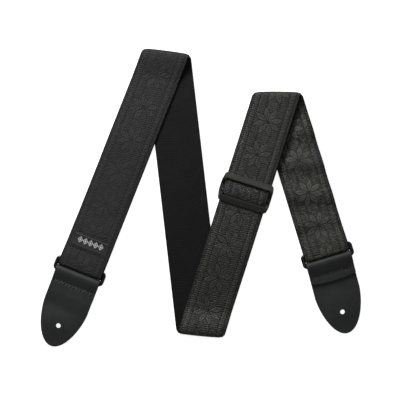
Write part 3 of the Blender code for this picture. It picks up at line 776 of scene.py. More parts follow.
def ribbon_look(name, motif, ground, shade, contrast, roughness, crinkle):
    """The jacquard ribbon: stars in a ribbed field between two rope bands and two plain margins."""
    look = Look(name, roughness, Specular_IOR_Level=0.5, Sheen_Weight=0.1, Sheen_Roughness=0.45)
    along, across = look.woven_place()
    side = across.size()

    # Star leaves, their dark outlines and veins.
    angle = along.math("ARCTAN2", across)
    off_axis = LEAF_HALF_ANGLE - angle.math("PINGPONG", LEAF_HALF_ANGLE)
    radius = (along * along + across * across).math("SQRT")
    out, off = radius * off_axis.math("COSINE"), radius * off_axis.math("SINE")
    rounded_tip = (LEAF_TIP - out).most(0.0).math("SQRT") * LEAF_ROUNDNESS
    inside = (out * math.tan(LEAF_HALF_ANGLE) - LEAF_GAP).least(rounded_tip) - off
    field = side.step(FIELD_EDGE + 0.2, FIELD_EDGE - 0.3)
    leaf = inside.step(0.0, 0.45) * field
    outline = inside.step(-1.5, -0.5) * inside.step(0.1, -0.3) * field
    vein = off.step(0.5, 0.15) * out.step(4.0, 5.5) * out.step(12.0, 10.0) * leaf

    # Half way between stars: a small ringed lozenge, and ribs beside the borders.
    away = PATTERN_LENGTH / 2 - along.size()
    lozenge = away + side * 0.75
    rings = lozenge.step(RIBBON_LOZENGE_REACH, RIBBON_LOZENGE_REACH - 1) * field
    rings = lozenge.wave(RIBBON_LOZENGE_PITCH) * rings
    ribs = away.wave(BORDER_RIB_PITCH) * side.step(7.5, 9.5) * away.step(8.0, 6.0) * field

    # The rope band: slanted strands between two dark lines.
    band = side.step(ROPE_INNER - 0.3, ROPE_INNER + 0.4)
    band = band * side.step(ROPE_OUTER + 0.3, ROPE_OUTER - 0.4)
    slant = along + (side - (ROPE_INNER + ROPE_OUTER) / 2) * ROPE_SLANT
    strand = slant.wave(PATTERN_LENGTH / ROPE_STRANDS).step(-0.75, 0.35) * band
    line = (side - (FIELD_EDGE + ROPE_INNER) / 2).size().step(0.75, 0.35)
    line = line.most((side - ROPE_OUTER - 0.5).size().step(0.6, 0.25))
    stitched = (side - RIBBON_SEAM).size().step(0.45, 0.15)
    margin = side.step(ROPE_OUTER + 0.3, ROPE_OUTER + 0.8)

    # Weft ribs over everything, the finer crossings of single threads, wear and crinkles, whose light
    # and shade is also painted into the colour.
    weft = along.wave(PATTERN_LENGTH / RIBBON_WEFTS)
    ribbed = (along + side * 0.18).wave(PATTERN_LENGTH / RIBBON_RIBS) * (1 - leaf)
    crossing = along.wave(PATTERN_LENGTH / FINE_WEFTS) * across.wave(0.92)
    worn = look.noise(22 * MM, 3.0)
    crinkled_painted_shading = look.noise(1.7 * MM, 3.0, 0.7)
    swollen = look.noise(24 * MM)

    light = leaf.most(strand * 0.6).most(rings * 0.6).most(ribs * 0.5)
    dark = outline.most(line * 0.9).most(vein * 0.8).most(margin * 0.6).most(stitched * 0.6)
    tone = light * 0.5 + weft * 0.08 + crossing * 0.06 + ribbed * 0.1 + (worn - 0.5) * 0.3
    # Painted light and shade of the crinkles: the colour lightens where their bump rises and darkens
    # where it sinks.
    tone = tone + (crinkled_painted_shading - 0.5) * (3.2 * crinkle) - 0.06
    colour = look.mixed(tone * contrast + 0.3, ground, motif)
    look.colour(look.mixed(dark * contrast, colour, shade))
    look.roughness(roughness - light * 0.1)
    height = light * 0.45 - dark * 0.45 + weft * 0.12 + crossing * 0.12 + ribbed * 0.5
    look.relief(height + crinkled_painted_shading * (3.6 * crinkle) + swollen * 3.5, 0.3 * MM, 0.9)
    return look.material


def webbing_look():
    """Plain dense webbing: weft ribs across it and fine warp threads along it."""
    look = Look("webbing", 0.8, Specular_IOR_Level=0.22, Sheen_Weight=0.06, Sheen_Roughness=0.5)
    along, across = look.woven_place()
    weft = along.wave(PATTERN_LENGTH / WEBBING_WEFTS)
    warp = across.wave(1.0)
    fine = along.wave(PATTERN_LENGTH / FINE_WEFTS) * across.wave(0.5)
    worn = look.noise(18 * MM, 3.0)
    selvedge = across.size().step(23.2, 23.8)
    tone = weft * 0.16 + warp * 0.08 + fine * 0.08 + (worn - 0.5) * 0.6 - selvedge * 0.25 + 0.5
    look.colour(look.mixed(tone, srgb(6, 6, 7), srgb(26, 26, 26)))
    swollen = look.noise(26 * MM)
    look.relief(weft * 0.3 + warp * 0.12 + fine * 0.1 + swollen * 5.0, 0.3 * MM, 0.8)
    return look.material


def leather_look():
    """Soft black leather: fine pebbled grain, a few faint creases and slightly polished mottling."""
    look = Look("leather", 0.5, Specular_IOR_Level=0.4)
    pebbles = look.texture("Voronoi", "Distance", 0.9 * MM)
    creases = look.noise(5 * MM, 6.0, 0.6)
    mottled = look.noise(25 * MM)
    tone = (mottled - 0.5) * 0.9 + (creases - 0.5) * 0.5 + (pebbles - 0.4) * 0.25 + 0.5
    look.colour(look.mixed(tone, srgb(39, 40, 40), srgb(56, 57, 57)))
    look.roughness(creases * 0.16 + mottled * 0.1 + 0.38)
    look.relief(pebbles * 0.55 + creases * 0.45, 0.16 * MM, 0.7)
    return look.material


def metal_look(name, worn_colour, base_colour, roughness, metallic):
    """Enamelled metal, a little uneven, with rubbed patches."""
    look = Look(name, roughness, Metallic=metallic, Specular_IOR_Level=0.5)
    uneven = look.noise(1.6 * MM, 4.0)
    patches = look.noise(9 * MM, 3.0, 0.6)
    rubbed = patches.step(0.52, 0.75) * 0.6 + (uneven - 0.5) * 0.4
    look.colour(look.mixed(rubbed, base_colour, worn_colour))
    look.roughness(uneven * 0.16 + roughness - 0.08)
    look.relief(uneven, 0.05 * MM, 0.5)
    return look.material


def thread_look(name, colour):
    """Waxed sewing thread, whose plies show as a fine uneven grain."""
    look = Look(name, 0.6, Specular_IOR_Level=0.4)
    plies = look.noise(0.5 * MM)
    dark = tuple(channel * 0.55 for channel in colour[:3]) + (1,)
    look.colour(look.mixed(plies, dark, colour))
    look.relief(plies, 0.12 * MM, 0.8)
    return look.material


# The label's row of lozenges, in millimetres.
LOZENGE_DROP = 0.6
LOZENGE_PITCH = 6.0
LOZENGE_HALF_WIDTH = 2.9
LOZENGE_HALF_HEIGHT = 3.5
LOZENGE_ROW_HALF_WIDTH = 15.0


def label_look():
    """A woven label: satin ground with fine ribs, and a row of pale lozenges."""
    look = Look("label", 0.62, Specular_IOR_Level=0.5)
    along, across = look.weave_map()
    along = (along - 0.5) * (LABEL_LENGTH / MM) + LOZENGE_DROP
    across = (across - 0.5) * (2 * LABEL_HALF_WIDTH / MM)
    cell = across.math("PINGPONG", LOZENGE_PITCH / 2)
    lozenge = cell / LOZENGE_HALF_WIDTH + along.size() / LOZENGE_HALF_HEIGHT
    within = across.size().step(LOZENGE_ROW_HALF_WIDTH, LOZENGE_ROW_HALF_WIDTH - 0.1)
    edge = lozenge.step(1.04, 0.96) * lozenge.step(0.66, 0.74)
    core = lozenge.step(0.42, 0.34)
    mark = (edge + core) * within
    ribs = along.wave(0.7)
    tone = ribs * 0.2 + (look.noise(3 * MM) - 0.5) * 0.6 + 0.4
    ground = look.mixed(tone, srgb(15, 15, 16), srgb(34, 34, 35))
    look.colour(look.mixed(mark, ground, srgb(206, 206, 208)))
    look.relief(mark * 0.5 + ribs * 0.2 + 0.3, 0.2 * MM, 0.7)
    return look.material


# Tones of the ribbon, copies of one ribbon that paint light and shade on it: a painted sheen on the up
# run (lit), painted sheen and painted shade on the right run, a dimmer painted shade on the left and
# middle runs (flat) and painted shade in the slider's window: motif, ground and shade, then contrast,
# roughness and crinkle.
RIBBON_TONES = {
    "lit": (srgb(69, 70, 61), srgb(32, 33, 33), srgb(10, 11, 12), 1.0, 0.48, 0.55),
    "crinkled_painted_shading": (srgb(82, 83, 72), srgb(9, 10, 10), srgb(3, 4, 4), 1.25, 0.4, 1.3),
    "flat": (srgb(32, 32, 30), srgb(22, 22, 22), srgb(12, 12, 12), 0.7, 0.72, 1.0),
    "window": (srgb(62, 63, 59), srgb(32, 33, 33), srgb(15, 16, 17), 0.8, 0.42, 0.7),
}
RIBBON = {tone: ribbon_look("ribbon_" + tone, *values) for tone, values in RIBBON_TONES.items()}
WEBBING = webbing_look()
LEATHER = leather_look()
RING_METAL = metal_look("ring_metal", srgb(80, 80, 82), srgb(36, 36, 38), 0.3, 0.35)
SLIDER_METAL = metal_look("slider_metal", srgb(86, 86, 79), srgb(58, 58, 54), 0.36, 0.3)
BLACK_THREAD = thread_look("black_thread", srgb(12, 12, 12))
DARK_THREAD = thread_look("dark_thread", srgb(62, 63, 62))
GREY_THREAD = thread_look("grey_thread", srgb(104, 104, 102))
LABEL = label_look()


# ---------------------------------------------------------------- the strap's woven pieces

strap = Strap(whole_strap())
FOLD_ROWS = round(FOLD_REACH / ROW_SPACING)


def strap_piece(name, first, last, tone, held, body=None, blend=None, rests_on=()):
    """The webbing and the ribbon between two rows, riding on one body, or left where they are made when
    none is given.
    Those of a run stand for the CAD's, which hold its bends too."""
    for layer, material in (("webbing", WEBBING), ("ribbon", RIBBON[tone])):
        piece = woven_strip(f"{name}_{layer}_cloth", strap, first, last, layer, material)
        if not name.endswith("fold"):
            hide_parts(f"{name}_{layer}")
        if body:
            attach(piece, body)
        else:
            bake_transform(piece)
        half = STRAP_HALF_WIDTH if layer == "webbing" else RIBBON_HALF_WIDTH
        2 * half


def fold_piece(name, low_body, high_body, low_height, high_height, tone):
    """The bend of a fold, with a few rows past it on each side, left where it is made: the blend built
    from its two bodies and heights is not used.
    """
    blend = (low_body, high_body, (0, 0, low_height), (0, 0, high_height))
    strap_piece(name, strap.first[name] - FOLD_ROWS, strap.last[name] + FOLD_ROWS, tone, "folded",
                blend=blend)


def between(before, after):
    """The rows from the end of one fold's piece to the start of the next one's."""
    return strap.last[before] + FOLD_ROWS, strap.first[after] - FOLD_ROWS


OUTER_FOLD_HEIGHTS = (3.0 * MM, 6.0 * MM)
INNER_FOLD_HEIGHTS = (3.9 * MM, 5.1 * MM)
SLACK_LENGTH = 40 * MM

# Each piece takes a copy of the ribbon with painted light. The slider's end, the up run and its folds
# get a painted sheen, and the right run gets painted sheen and painted shade. The middle run, the left
# fold and the left run get a dimmer painted shade (flat).
strap_piece("adjuster", 0, strap.last["adjuster"], "lit", "folded", body="slider")
slack_start = up_run.row(slider_bar + ADJUSTER_LENGTH, 0).centre
strap_piece("return", strap.last["adjuster"], strap.first["right_inner_fold"] - FOLD_ROWS, "lit",
            "laid", blend=("slider", "up_run", slack_start, slack_start + up_direction * SLACK_LENGTH))
fold_piece("right_inner_fold", "right_run", "up_run", *INNER_FOLD_HEIGHTS, "lit")
strap_piece("right", *between("right_inner_fold", "right_outer_fold"), "crinkled_painted_shading", "folded",
            body="right_run")
fold_piece("right_outer_fold", "right_run", "up_run", *OUTER_FOLD_HEIGHTS, "lit")
strap_piece("up", *between("right_outer_fold", "bottom_fold"), "lit", "laid", body="up_run",
            rests_on=["middle_webbing_cloth"])
fold_piece("bottom_fold", "middle_run", "up_run", *OUTER_FOLD_HEIGHTS, "lit")
strap_piece("middle", *between("bottom_fold", "left_fold"), "flat", "laid", body="middle_run")
fold_piece("left_fold", "middle_run", "left_run", *OUTER_FOLD_HEIGHTS, "flat")
strap_piece("left", strap.last["left_fold"] + FOLD_ROWS, strap.last["left_flap"], "flat", "folded",
            body="left_run", rests_on=["middle_webbing_cloth"])


# ---------------------------------------------------------------- rings and leather tabs

class Place:
    """A level frame on the strap's centre line: X across it, Y along a run, Z up."""

    def __init__(self, run, distance, height):
        self.origin = run.row(distance, height).centre
        self.along = run.direction
        self.across = Vector((run.direction.y, -run.direction.x, 0))

    def point(self, x, y, z):
        return self.origin + self.across * x + self.along * y + UP * z


def final_mesh(piece):
    """Puts the result of a piece's modifiers in its mesh."""
    evaluated = piece.evaluated_get(bpy.context.evaluated_depsgraph_get())
    mesh = bpy.data.meshes.new_from_object(evaluated)
    piece.modifiers.clear()
    piece.data = mesh
    mesh.shade_smooth()
    mesh.set_sharp_from_angle(angle=math.radians(CUT_CREASE_ANGLE))


# How finely the wires, the thread and the leather are divided.
WIRE_SIDES = 24
THREAD_SIDES = 8
CORNER_STEPS = 9
FLAP_STEPS = 45
ROLL_STEPS = 29
FRONT_STEPS = 170
TAB_STRAIGHT_ROWS = 96
TAB_END_ANGLES = spread(0.03, 1.555, 46)
TAB_COLUMNS = 105
EDGE_ANGLES = (25, 55, 90)


def add_ring(side, run, bar):
    """A wire frame with rounded corners, one bar in the strap's loop and one in the leather."""
    place = Place(run, bar, FOLD_AXIS_HEIGHT)
    half = RING_HALF_WIDTH - RING_WIRE_RADIUS - RING_CORNER_RADIUS
    far, near = RING_BAR_SPACING - RING_CORNER_RADIUS, RING_CORNER_RADIUS
    points = []
    for x, y, start in ((half, far, 0), (-half, far, 90), (-half, near, 180), (half, near, 270)):
        for angle in spread(start, start + 90, CORNER_STEPS):
            turn = math.radians(angle)
            points.append(place.point(x + RING_CORNER_RADIUS * math.cos(turn),
                                      y + RING_CORNER_RADIUS * math.sin(turn), 0))
    ring = tube(side + "_ring_wire", points, UP, RING_WIRE_RADIUS, WIRE_SIDES, RING_METAL, closed=True)
    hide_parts(side + "_ring")
    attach(ring, side + "_ring")


CUTTER_DEPTH = 20 * MM


def punch_button_hole(tab, place, lean):
    """Cuts a round hole, and a slit from it towards the strap."""
    centre = HOLE_FROM_EDGE - LEATHER_OUTER_RADIUS
    slit = SLIT_LENGTH + HOLE_RADIUS
    turned = math.atan2(place.along.y, place.along.x) - math.pi / 2
    shapes = []
    for name, middle in (("hole", centre), ("slit", centre - slit / 2)):
        shape = bmesh.new()
        if name == "hole":
            bmesh.ops.create_cone(shape, cap_ends=True, segments=48, radius1=HOLE_RADIUS,
                                  radius2=HOLE_RADIUS, depth=CUTTER_DEPTH)
        else:
            bmesh.ops.create_cube(shape, size=1)
            bmesh.ops.scale(shape, vec=(SLIT_WIDTH, slit, CUTTER_DEPTH), verts=shape.verts)
        mesh = bpy.data.meshes.new(name)
        shape.to_mesh(mesh)
        shape.free()
        cutter = add_object(name, mesh)
        cutter.location = place.point(lean * middle, middle, 0)
        cutter.rotation_euler = (0, 0, turned - math.atan(lean))
        cut = tab.modifiers.new(name, "BOOLEAN")
        cut.operation = "DIFFERENCE"
        cut.object = cutter
        cut.solver = "EXACT"
        shapes.append(cutter)
    final_mesh(tab)
    for cutter in shapes:
        bpy.data.objects.remove(cutter, do_unlink=True)


# Along one stitch: the share of its length, and the thread's height over the surface.
STITCH_SHAPE = [(0.0, -0.45), (0.1, -0.1), (0.24, 0.16), (0.5, 0.24), (0.76, 0.16), (0.9, -0.1)]


def add_stitches(name, node, body, material, along, half_width, point_at, sway=0.0):
    """A row of stitches across the object, in place of the CAD's. Between stitches the thread dips
    into the surface. point_at gives the point at a distance sideways and a height, and sway is how
    far a zigzag row swings to each side."""
    count = round(2 * half_width / STITCH_LENGTH)
    length = 2 * half_width / count
    points = []
    for stitch in range(count):
        for share, height in STITCH_SHAPE:
            swing = along * (sway * (1 - 2 * abs((2 * share) % 2 - 1)))
            points.append(point_at((stitch + share) * length - half_width, height * MM) + swing)
    points.append(point_at(half_width, STITCH_SHAPE[0][1] * MM) - along * sway)
    seam = tube(name, points, UP if sway else along, THREAD_RADIUS, THREAD_SIDES, material)
    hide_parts(node)
    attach(seam, body)


def tab_half_width(from_edge):
    """Half the width of the tab's flat face, inside its rounded border, at a distance from its
    rolled edge: straight, then a rounded end."""
    round_end = TAB_LENGTH - TAB_STRAIGHT_LENGTH - LEATHER_EDGE_RADIUS
    beyond = max(from_edge - TAB_STRAIGHT_LENGTH, 0) / round_end
    flat = TAB_HALF_WIDTH - LEATHER_EDGE_RADIUS
    return flat * math.sqrt(max(1 - beyond ** TAB_END_POWER, 0))


# The leather leaves the ring's bar this far past it, and settles over these distances: the lower
# layer, the upper one, and the upper one's fall from the end of the flap below it.
ROLL_END = 0.4 * MM
LOWER_SETTLES = (0, 10 * MM)
UPPER_SETTLES = (0, 15 * MM)
UPPER_FALLS = (FLAP_END + 1.5 * MM, FLAP_END + 20 * MM)


class TabCourse:
    """The middle of a tab's leather, from its flap's end, round the ring's bar and to its tip."""

    def __init__(self, front_up):
        self.flap_side = -1 if front_up else 1
        self.front_up = front_up
        tip = TAB_LENGTH - LEATHER_OUTER_RADIUS
        roll = LEATHER_ROLL_RADIUS
        flap = [(y, self.settle(self.flap_side, y)) for y in spread(FLAP_END, ROLL_END, FLAP_STEPS)]
        bend = [(-roll * math.sin(angle), self.flap_side * roll * math.cos(angle))
                for angle in spread(0, math.pi, ROLL_STEPS)]
        front = [(y, self.settle(-self.flap_side, y)) for y in spread(ROLL_END, tip, FRONT_STEPS)]
        self.path = np.array(flap + bend + front)
        self.lengths = np.insert(np.cumsum(np.linalg.norm(np.diff(self.path, axis=0), axis=1)), 0, 0)
        slope = np.gradient(self.path, axis=0)
        slope /= np.linalg.norm(slope, axis=1)[:, None]
        self.normals = self.flap_side * np.stack([slope[:, 1], -slope[:, 0]], axis=1)
        self.front_start = self.lengths[len(flap) + len(bend)]
        self.tip = self.lengths[-1]

    def settle(self, side, y):
        """Height of the layer on one side of the bar, which sinks to the table or the other one."""
        floor = -FOLD_AXIS_HEIGHT + LEATHER_THICKNESS / 2
        stacked = floor + LEATHER_THICKNESS + LEATHER_GAP
        roll = LEATHER_ROLL_RADIUS
        if side < 0:
            return -roll + (floor + roll) * ease(y, *LOWER_SETTLES)
        height = roll + (stacked - roll) * ease(y, *UPPER_SETTLES)
        if self.front_up:
            height += (floor - stacked) * ease(y, *UPPER_FALLS)
        return height

    def at(self, length):
        """Distance along the tab, height and the normal at a length from the flap's end."""
        return [float(np.interp(length, self.lengths, values))
                for values in (*self.path.T, *self.normals.T)]


def tab_rows(course):
    """Lengths of the rows across a tab, closer together where its end is round."""
    straight = course.tip - (TAB_LENGTH - TAB_STRAIGHT_LENGTH)
    rounded = course.tip - LEATHER_EDGE_RADIUS - straight
    rows = spread(LEATHER_EDGE_RADIUS, straight, TAB_STRAIGHT_ROWS)
    return rows + [straight + rounded * math.sin(angle) for angle in TAB_END_ANGLES]


# Depth and half width of the groove along a tab's seam, and of the puckers in it.
GROOVE = (0.34 * MM, 1.1 * MM)
PUCKER = (0.28 * MM, 2.2 * MM)


def stitch_dent(x, y):
    """How far the stitch row pulls the leather in: a groove, deeper where the needle went in."""
    from_row = y - TAB_STITCH_FROM_EDGE + LEATHER_OUTER_RADIUS
    groove, pucker = (depth * math.exp(-(from_row / width) ** 2) for depth, width in (GROOVE, PUCKER))
    between_holes = 1 - math.cos(2 * math.pi * x / STITCH_LENGTH)
    return (groove + pucker * between_holes) * ease(TAB_HALF_WIDTH - abs(x), 1.5 * MM, STITCH_INSET)


# The depth of a seam's thread in the leather, and the distance from the flap to the crown.
THREAD_SUNK = 0.25 * MM
FLAP_CLEARANCE = 3 * MM


def add_tab(side, run, bar, front_up):
    """A leather end, rolled round the ring's bar, its flap sewn to its back, with a button hole."""
    place = Place(run, bar + RING_BAR_SPACING, FOLD_AXIS_HEIGHT)
    course = TabCourse(front_up)
    lean = TAB_LEAN[side]
    half_thickness = LEATHER_THICKNESS / 2
    flap_bow = 0 if front_up else FLAP_END_BOW
    crown_start = TAB_FLAP_LENGTH + (0 if front_up else FLAP_CLEARANCE)
    columns = np.linspace(-1, 1, TAB_COLUMNS)
    plan = []
    for length in tab_rows(course):
        y = course.at(length)[0]
        from_edge = y + LEATHER_OUTER_RADIUS if length > course.front_start else 0
        half = tab_half_width(from_edge)
        curve = flap_bow * (1 - ease(length, 0, FLAP_BOW_LENGTH))
        plan.append([(length + curve * share * share, half * share) for share in columns])
    plan = np.array(plan)
    count_rows, count_columns = plan.shape[:2]

    def solid_point(length, x, lift):
        y, z, normal_y, normal_z = course.at(length)
        crown = 0
        if length > course.front_start and y > crown_start:
            share = (y - crown_start) / (TAB_LENGTH - LEATHER_OUTER_RADIUS - crown_start)
            crown = (TAB_CROWN[side] * max(math.sin(math.pi * min(share, 1)), 0) ** 1.5
                     * (1 - (x / TAB_HALF_WIDTH) ** 2))
        return place.point(x + lean * max(y, 0), y + normal_y * lift, z + normal_z * lift + crown)

    vertices = []
    for lift in (half_thickness, -half_thickness):
        for length, x in plan.reshape(-1, 2):
            dent = stitch_dent(x, course.at(length)[0]) if lift > 0 else 0
            vertices.append(solid_point(length, x, lift - dent))
    layer = count_rows * count_columns
    grid = np.arange(layer).reshape(count_rows, count_columns)
    quads = np.stack([grid[:-1, :-1], grid[:-1, 1:], grid[1:, 1:], grid[1:, :-1]], axis=-1)
    faces = np.stack([quads, quads + layer], axis=2).reshape(-1, 4).tolist()

    # The border runs round the grid; its rounded edge steps outwards and down from there.
    border = np.array([*grid[0], *grid[1:, -1], *grid[-1, -2::-1], *grid[-2:0:-1, 0]])
    outline = plan.reshape(-1, 2)[border]
    tangent = np.roll(outline, -1, axis=0) - np.roll(outline, 1, axis=0)
    outward = np.stack([-tangent[:, 1], tangent[:, 0]], axis=1)
    outward /= np.linalg.norm(outward, axis=1)[:, None]
    turns = [math.radians(angle) for angle in EDGE_ANGLES]
    edge = [(math.sin(turn), math.cos(turn)) for turn in turns]
    edge += [(reach, -drop) for reach, drop in reversed(edge)]
    rings = [border]
    for reach, drop in edge:
        first = len(vertices)
        lift = math.copysign(half_thickness - LEATHER_EDGE_RADIUS, drop) + LEATHER_EDGE_RADIUS * drop
        for (length, x), (out_length, out_x) in zip(outline, outward):
            vertices.append(solid_point(length + out_length * reach * LEATHER_EDGE_RADIUS,
                                        x + out_x * reach * LEATHER_EDGE_RADIUS, lift))
        rings.append(np.arange(first, len(vertices)))
    rings.append(border + layer)
    for here, there in zip(rings, rings[1:]):
        sides = [here, np.roll(here, -1), np.roll(there, -1), there]
        faces += np.stack(sides, axis=1).tolist()
    tab = add_piece(side + "_tab_hide", vertices, faces, LEATHER)
    punch_button_hole(tab, place, lean)
    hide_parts(side + "_tab_leather")
    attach(tab, side + "_tab")

    row_y = TAB_STITCH_FROM_EDGE - LEATHER_OUTER_RADIUS
    row_length = course.front_start + row_y if front_up else course.path[0, 0] - row_y
    add_stitches(side + "_tab_seam", side + "_tab_stitching", side + "_tab",
                 GREY_THREAD if front_up else DARK_THREAD, place.along, TAB_HALF_WIDTH - STITCH_INSET,
                 lambda x, height: solid_point(row_length, x, half_thickness - THREAD_SUNK + height),
                 TAB_SEAM_SWING if front_up else 0)


add_ring("left", left_run, left_bar)
add_ring("right", right_run, right_bar)
add_tab("left", left_run, left_bar, True)
add_tab("right", right_run, right_bar, False)


# ---------------------------------------------------------------- slider and the cloth in it

def slider_height(distance):
    """Height of the middle of the slider's plate at a distance along the strap."""
    from_middle = abs(distance)
    bar_inner = SLIDER_HALF_LENGTH - SLIDER_BAR_WIDTH
    rise = ease(from_middle, MIDDLE_BAR_WIDTH, bar_inner)
    drop = max(from_middle - bar_inner, 0) / SLIDER_BAR_WIDTH
    outer_edge, inner_edge = UPPER_BAR_HEIGHTS if distance > 0 else LOWER_BAR_HEIGHTS
    top = inner_edge + (outer_edge - inner_edge) * drop ** BAR_ROUNDING
    return MIDDLE_BAR_HEIGHT + (top - MIDDLE_BAR_HEIGHT) * rise


# Where the plate is as high as this, its windows are narrower by the inset.
HIGH_PLATE = (10.2 * MM, 11.5 * MM)
WINDOW_INSET = 0.5 * MM
SLIDER_EDGE_RADIUS = 0.75 * MM
RAIL_STEPS = 9
CORNER_SHARES = (1, 0.68, 0.42, 0.2, 0.06)


def add_slider():
    """A plate with two windows: tilted outer bars over the strap, a middle bar under it, and
    rails that bow outwards and dip to the middle bar."""
    place = Place(up_run, slider_bar, 0)
    bar_inner = SLIDER_HALF_LENGTH - SLIDER_BAR_WIDTH
    half_bar = MIDDLE_BAR_WIDTH / 2
    reach = [half_bar] + spread(MIDDLE_BAR_WIDTH, bar_inner, RAIL_STEPS)
    reach += [bar_inner + (SLIDER_BAR_WIDTH - SLIDER_CORNER_RADIUS) / 2]
    reach += [SLIDER_HALF_LENGTH - SLIDER_CORNER_RADIUS * share for share in CORNER_SHARES]
    lines = [-value for value in reversed(reach)] + reach
    vertices = []
    for distance in lines:
        outer = SLIDER_HALF_WIDTH - SLIDER_RAIL_BOW * (distance / SLIDER_HALF_LENGTH) ** 2
        into_corner = max(SLIDER_CORNER_RADIUS - (SLIDER_HALF_LENGTH - abs(distance)), 0)
        outer -= SLIDER_CORNER_RADIUS - math.sqrt(SLIDER_CORNER_RADIUS ** 2 - into_corner ** 2)
        height = slider_height(distance)
        window = SLIDER_WINDOW_HALF_WIDTH - WINDOW_INSET * ease(height, *HIGH_PLATE)
        column = min(window, outer - 1 * MM)
        for x in (-outer, -column, column, outer):
            vertices.append(place.point(x, distance, height))
    faces = []
    for index in range(len(lines) - 1):
        middle = abs(lines[index] + lines[index + 1]) / 2
        for part in range(3):
            if part != 1 or middle < half_bar or middle > bar_inner:
                first = 4 * index + part
                faces.append((first, first + 1, first + 5, first + 4))
    plate = add_piece("slider_plate", vertices, faces, SLIDER_METAL)
    thick = plate.modifiers.new("thickness", "SOLIDIFY")
    thick.thickness = SLIDER_THICKNESS
    thick.offset = 0
    thick.use_even_offset = True
    rounded = plate.modifiers.new("rounded", "BEVEL")
    rounded.width = SLIDER_EDGE_RADIUS
    rounded.segments = 3
    rounded.angle_limit = math.radians(50)
    final_mesh(plate)
    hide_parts("slider_frame")
    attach(plate, "slider")


WINDOW_CLOTH_HALF_LENGTH = 9.6 * MM
WINDOW_CLOTH_HALF_WIDTH = 24.5 * MM
WINDOW_CLOTH_LIFT = 0.1 * MM
WINDOW_CLOTH_RISE = 2.8 * MM
WINDOW_CLOTH_THICKNESS = 0.9 * MM
WINDOW_CLOTH_ROWS = 31
LABEL_ROWS = 15
CLOTH_GAP = 0.04 * MM


def add_window_cloth():
    """The strap's face where the slider pinches it up between its outer bars."""
    rows_of_up = [strap.rows[index] for index in range(strap.first["up"], strap.last["up"] + 1)]
    patterns = strap.pattern[strap.first["up"]:strap.last["up"] + 1]
    rest = up_height(slider_bar) + HALF_THICKNESS
    place = Place(up_run, slider_bar, 0)
    side_sign = up_run.side.dot(place.across)
    columns = mirrored(RIBBON_COLUMNS + [24.2])
    vertices = []
    uvs = []
    lines = spread(-WINDOW_CLOTH_HALF_LENGTH, WINDOW_CLOTH_HALF_LENGTH, WINDOW_CLOTH_ROWS)
    for distance in lines:
        bulge = WINDOW_CLOTH_RISE * math.cos(math.pi / 2 * distance / WINDOW_CLOTH_HALF_LENGTH) ** 0.6
        top = rest + WINDOW_CLOTH_LIFT + bulge
        low = max(rest + CLOTH_GAP, top - WINDOW_CLOTH_THICKNESS)
        section = profile(WINDOW_CLOTH_HALF_WIDTH, low, top, columns, ribbon_relief)
        for x, z in section:
            sideways = x * side_sign
            vertices.append(place.point(x, distance, z))
            reached = [(row.centre + row.across * sideways - up_run.start).dot(up_run.direction)
                       for row in rows_of_up]
            here = [float(np.interp(sideways, strap.COLUMNS, pattern)) for pattern in patterns]
            along = np.interp(slider_bar + distance, reached[::-1], here[::-1]) / STAR_REPEAT
            uvs.append((along, 0.5 + sideways / (2 * STRAP_HALF_WIDTH)))
    # The window copy of the ribbon is darker: painted shade between the slider's bars.
    cloth = add_piece("slider_window_cloth", vertices, skin(len(lines), len(section)),
                      RIBBON["window"], uvs)
    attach(cloth, "slider")


add_slider()
add_window_cloth()


# ---------------------------------------------------------------- label and seams on the strap

def add_label():
    """The woven label, sewn on the left run near its ring."""
    first = left_bar - LABEL_FROM_BAR - LABEL_LENGTH / 2
    rows = [left_run.row(distance, left_height(distance))
            for distance in spread(first, first + LABEL_LENGTH, LABEL_ROWS)]
    bottom = HALF_THICKNESS + CLOTH_GAP
    section = profile(LABEL_HALF_WIDTH, bottom, bottom + LABEL_THICKNESS,
                      mirrored([4, 8, 12, 16, 19, 19.6]),
                      lambda distance: -LABEL_EDGE_DROP * ease(distance, *LABEL_EDGE))
    vertices = []
    uvs = []
    for index, row in enumerate(rows):
        for sideways, height in section:
            vertices.append(row.point(sideways, height))
            uvs.append((index / (len(rows) - 1), 0.5 + sideways / (2 * LABEL_HALF_WIDTH)))
    label = add_piece("woven_label", vertices, skin(len(rows), len(section)), LABEL, uvs)
    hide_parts("label")
    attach(label, "left_run")


def left_surface(to_bar, lift):
    """A function to the point sideways and above the left run's face, before its ring's bar."""
    row = left_run.row(left_bar - to_bar, left_height(left_bar - to_bar))
    return lambda x, height: row.point(x, HALF_THICKNESS + lift + height)


add_label()
add_stitches("label_seam", "label_stitching", "left_run", GREY_THREAD, left_direction,
             LABEL_HALF_WIDTH - LABEL_SEAM_INSET,
             left_surface(LABEL_FROM_BAR + LABEL_LENGTH / 2 - LABEL_SEAM_INSET, LABEL_THICKNESS))
add_stitches("left_loop_seam", "left_loop_stitching", "left_run", BLACK_THREAD, left_direction,
             STRAP_HALF_WIDTH - STITCH_INSET, left_surface(LEFT_STITCH_FROM_BAR, 0), STRAP_SEAM_SWING)
adjuster_row = up_run.turned_over().row(slider_bar + ADJUSTER_STITCH_FROM_BAR,
                                        return_height(ADJUSTER_STITCH_FROM_BAR))
add_stitches("adjuster_seam", "adjuster_stitching", "slider", BLACK_THREAD, up_direction,
             STRAP_HALF_WIDTH - STITCH_INSET,
             lambda x, height: adjuster_row.point(x, HALF_THICKNESS + height))


# ---------------------------------------------------------------- camera, light and floor

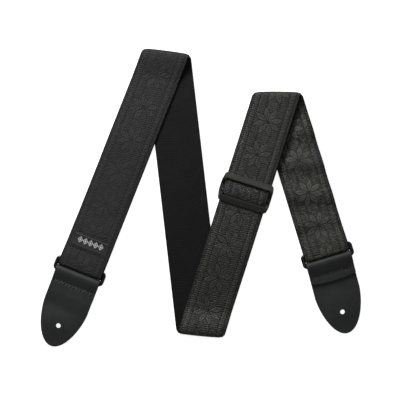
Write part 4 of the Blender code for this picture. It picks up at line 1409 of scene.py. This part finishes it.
def add_light(name, place, target, size, power):
    """A square soft light, which faces the target."""
    light = bpy.data.lights.new(name, "AREA")
    light.shape = "SQUARE"
    light.size = size
    light.energy = power
    lamp = add_object(name, light)
    lamp.location = place
    lamp.rotation_euler = (Vector(target) - Vector(place)).to_track_quat("-Z", "Y").to_euler()


def add_floor():
    """A lit white table, so that shadows on it stay faint. It sends no light up at the object."""
    look = Look("floor", 0.9)
    shader = look.shader
    shader.inputs["Base Color"].default_value = (0.8, 0.8, 0.8, 1)
    shader.inputs["Emission Color"].default_value = (1, 1, 1, 1)
    shader.inputs["Emission Strength"].default_value = 0.9
    mesh = bpy.data.meshes.new("floor")
    outline = bmesh.new()
    bmesh.ops.create_circle(outline, cap_ends=True, segments=64, radius=12)
    outline.to_mesh(mesh)
    outline.free()
    mesh.materials.append(look.material)
    floor = add_object("floor", mesh)
    floor.location.z = -0.05 * MM
    floor.visible_diffuse = False
    floor.visible_glossy = False


def add_world():
    """Dim overhead, and pale near the horizon, as a studio sweep is, with the light side beyond
    the top of the picture."""
    world = bpy.data.worlds.new("studio")
    world.use_nodes = True
    tree = world.node_tree
    place = add_node(tree, "TexCoord", {}, "Generated")
    towards_light = add_node(tree, "SeparateXYZ", {0: place}, 1) * 0.1 + 0.9
    above = add_node(tree, "SeparateXYZ", {0: place}, 2)
    brightness = above.step(0.3, 0.06) * above.step(-0.02, 0.0) * towards_light + 0.08
    tree.links.new(brightness.socket, tree.nodes["Background"].inputs["Strength"])
    tree.nodes["Background"].inputs["Color"].default_value = (1, 1, 1, 1)
    bpy.context.scene.world = world


# The stretch of the table that the camera takes in.
VIEW_WIDTH = 438.5 * MM
VIEW_MIDDLE = (-1.9 * MM, -2.9 * MM)


def add_camera():
    """Straight above the middle of the picture, with the far side of the table at the top."""
    data = bpy.data.cameras.new("camera")
    data.lens = 100
    data.sensor_width = 36
    camera = add_object("camera", data)
    camera.location = (*VIEW_MIDDLE, VIEW_WIDTH / 2 / math.tan(data.angle / 2))
    bpy.context.scene.camera = camera


add_camera()
add_floor()
add_world()
add_light("key", (-0.36, 0.52, 0.38), (0, 0.03, 0), 0.3, 5.6)
add_light("overhead", (0.3, 0.35, 0.9), (0, 0, 0), 0.5, 0.8)
bpy.context.scene.view_settings.view_transform = "Standard"
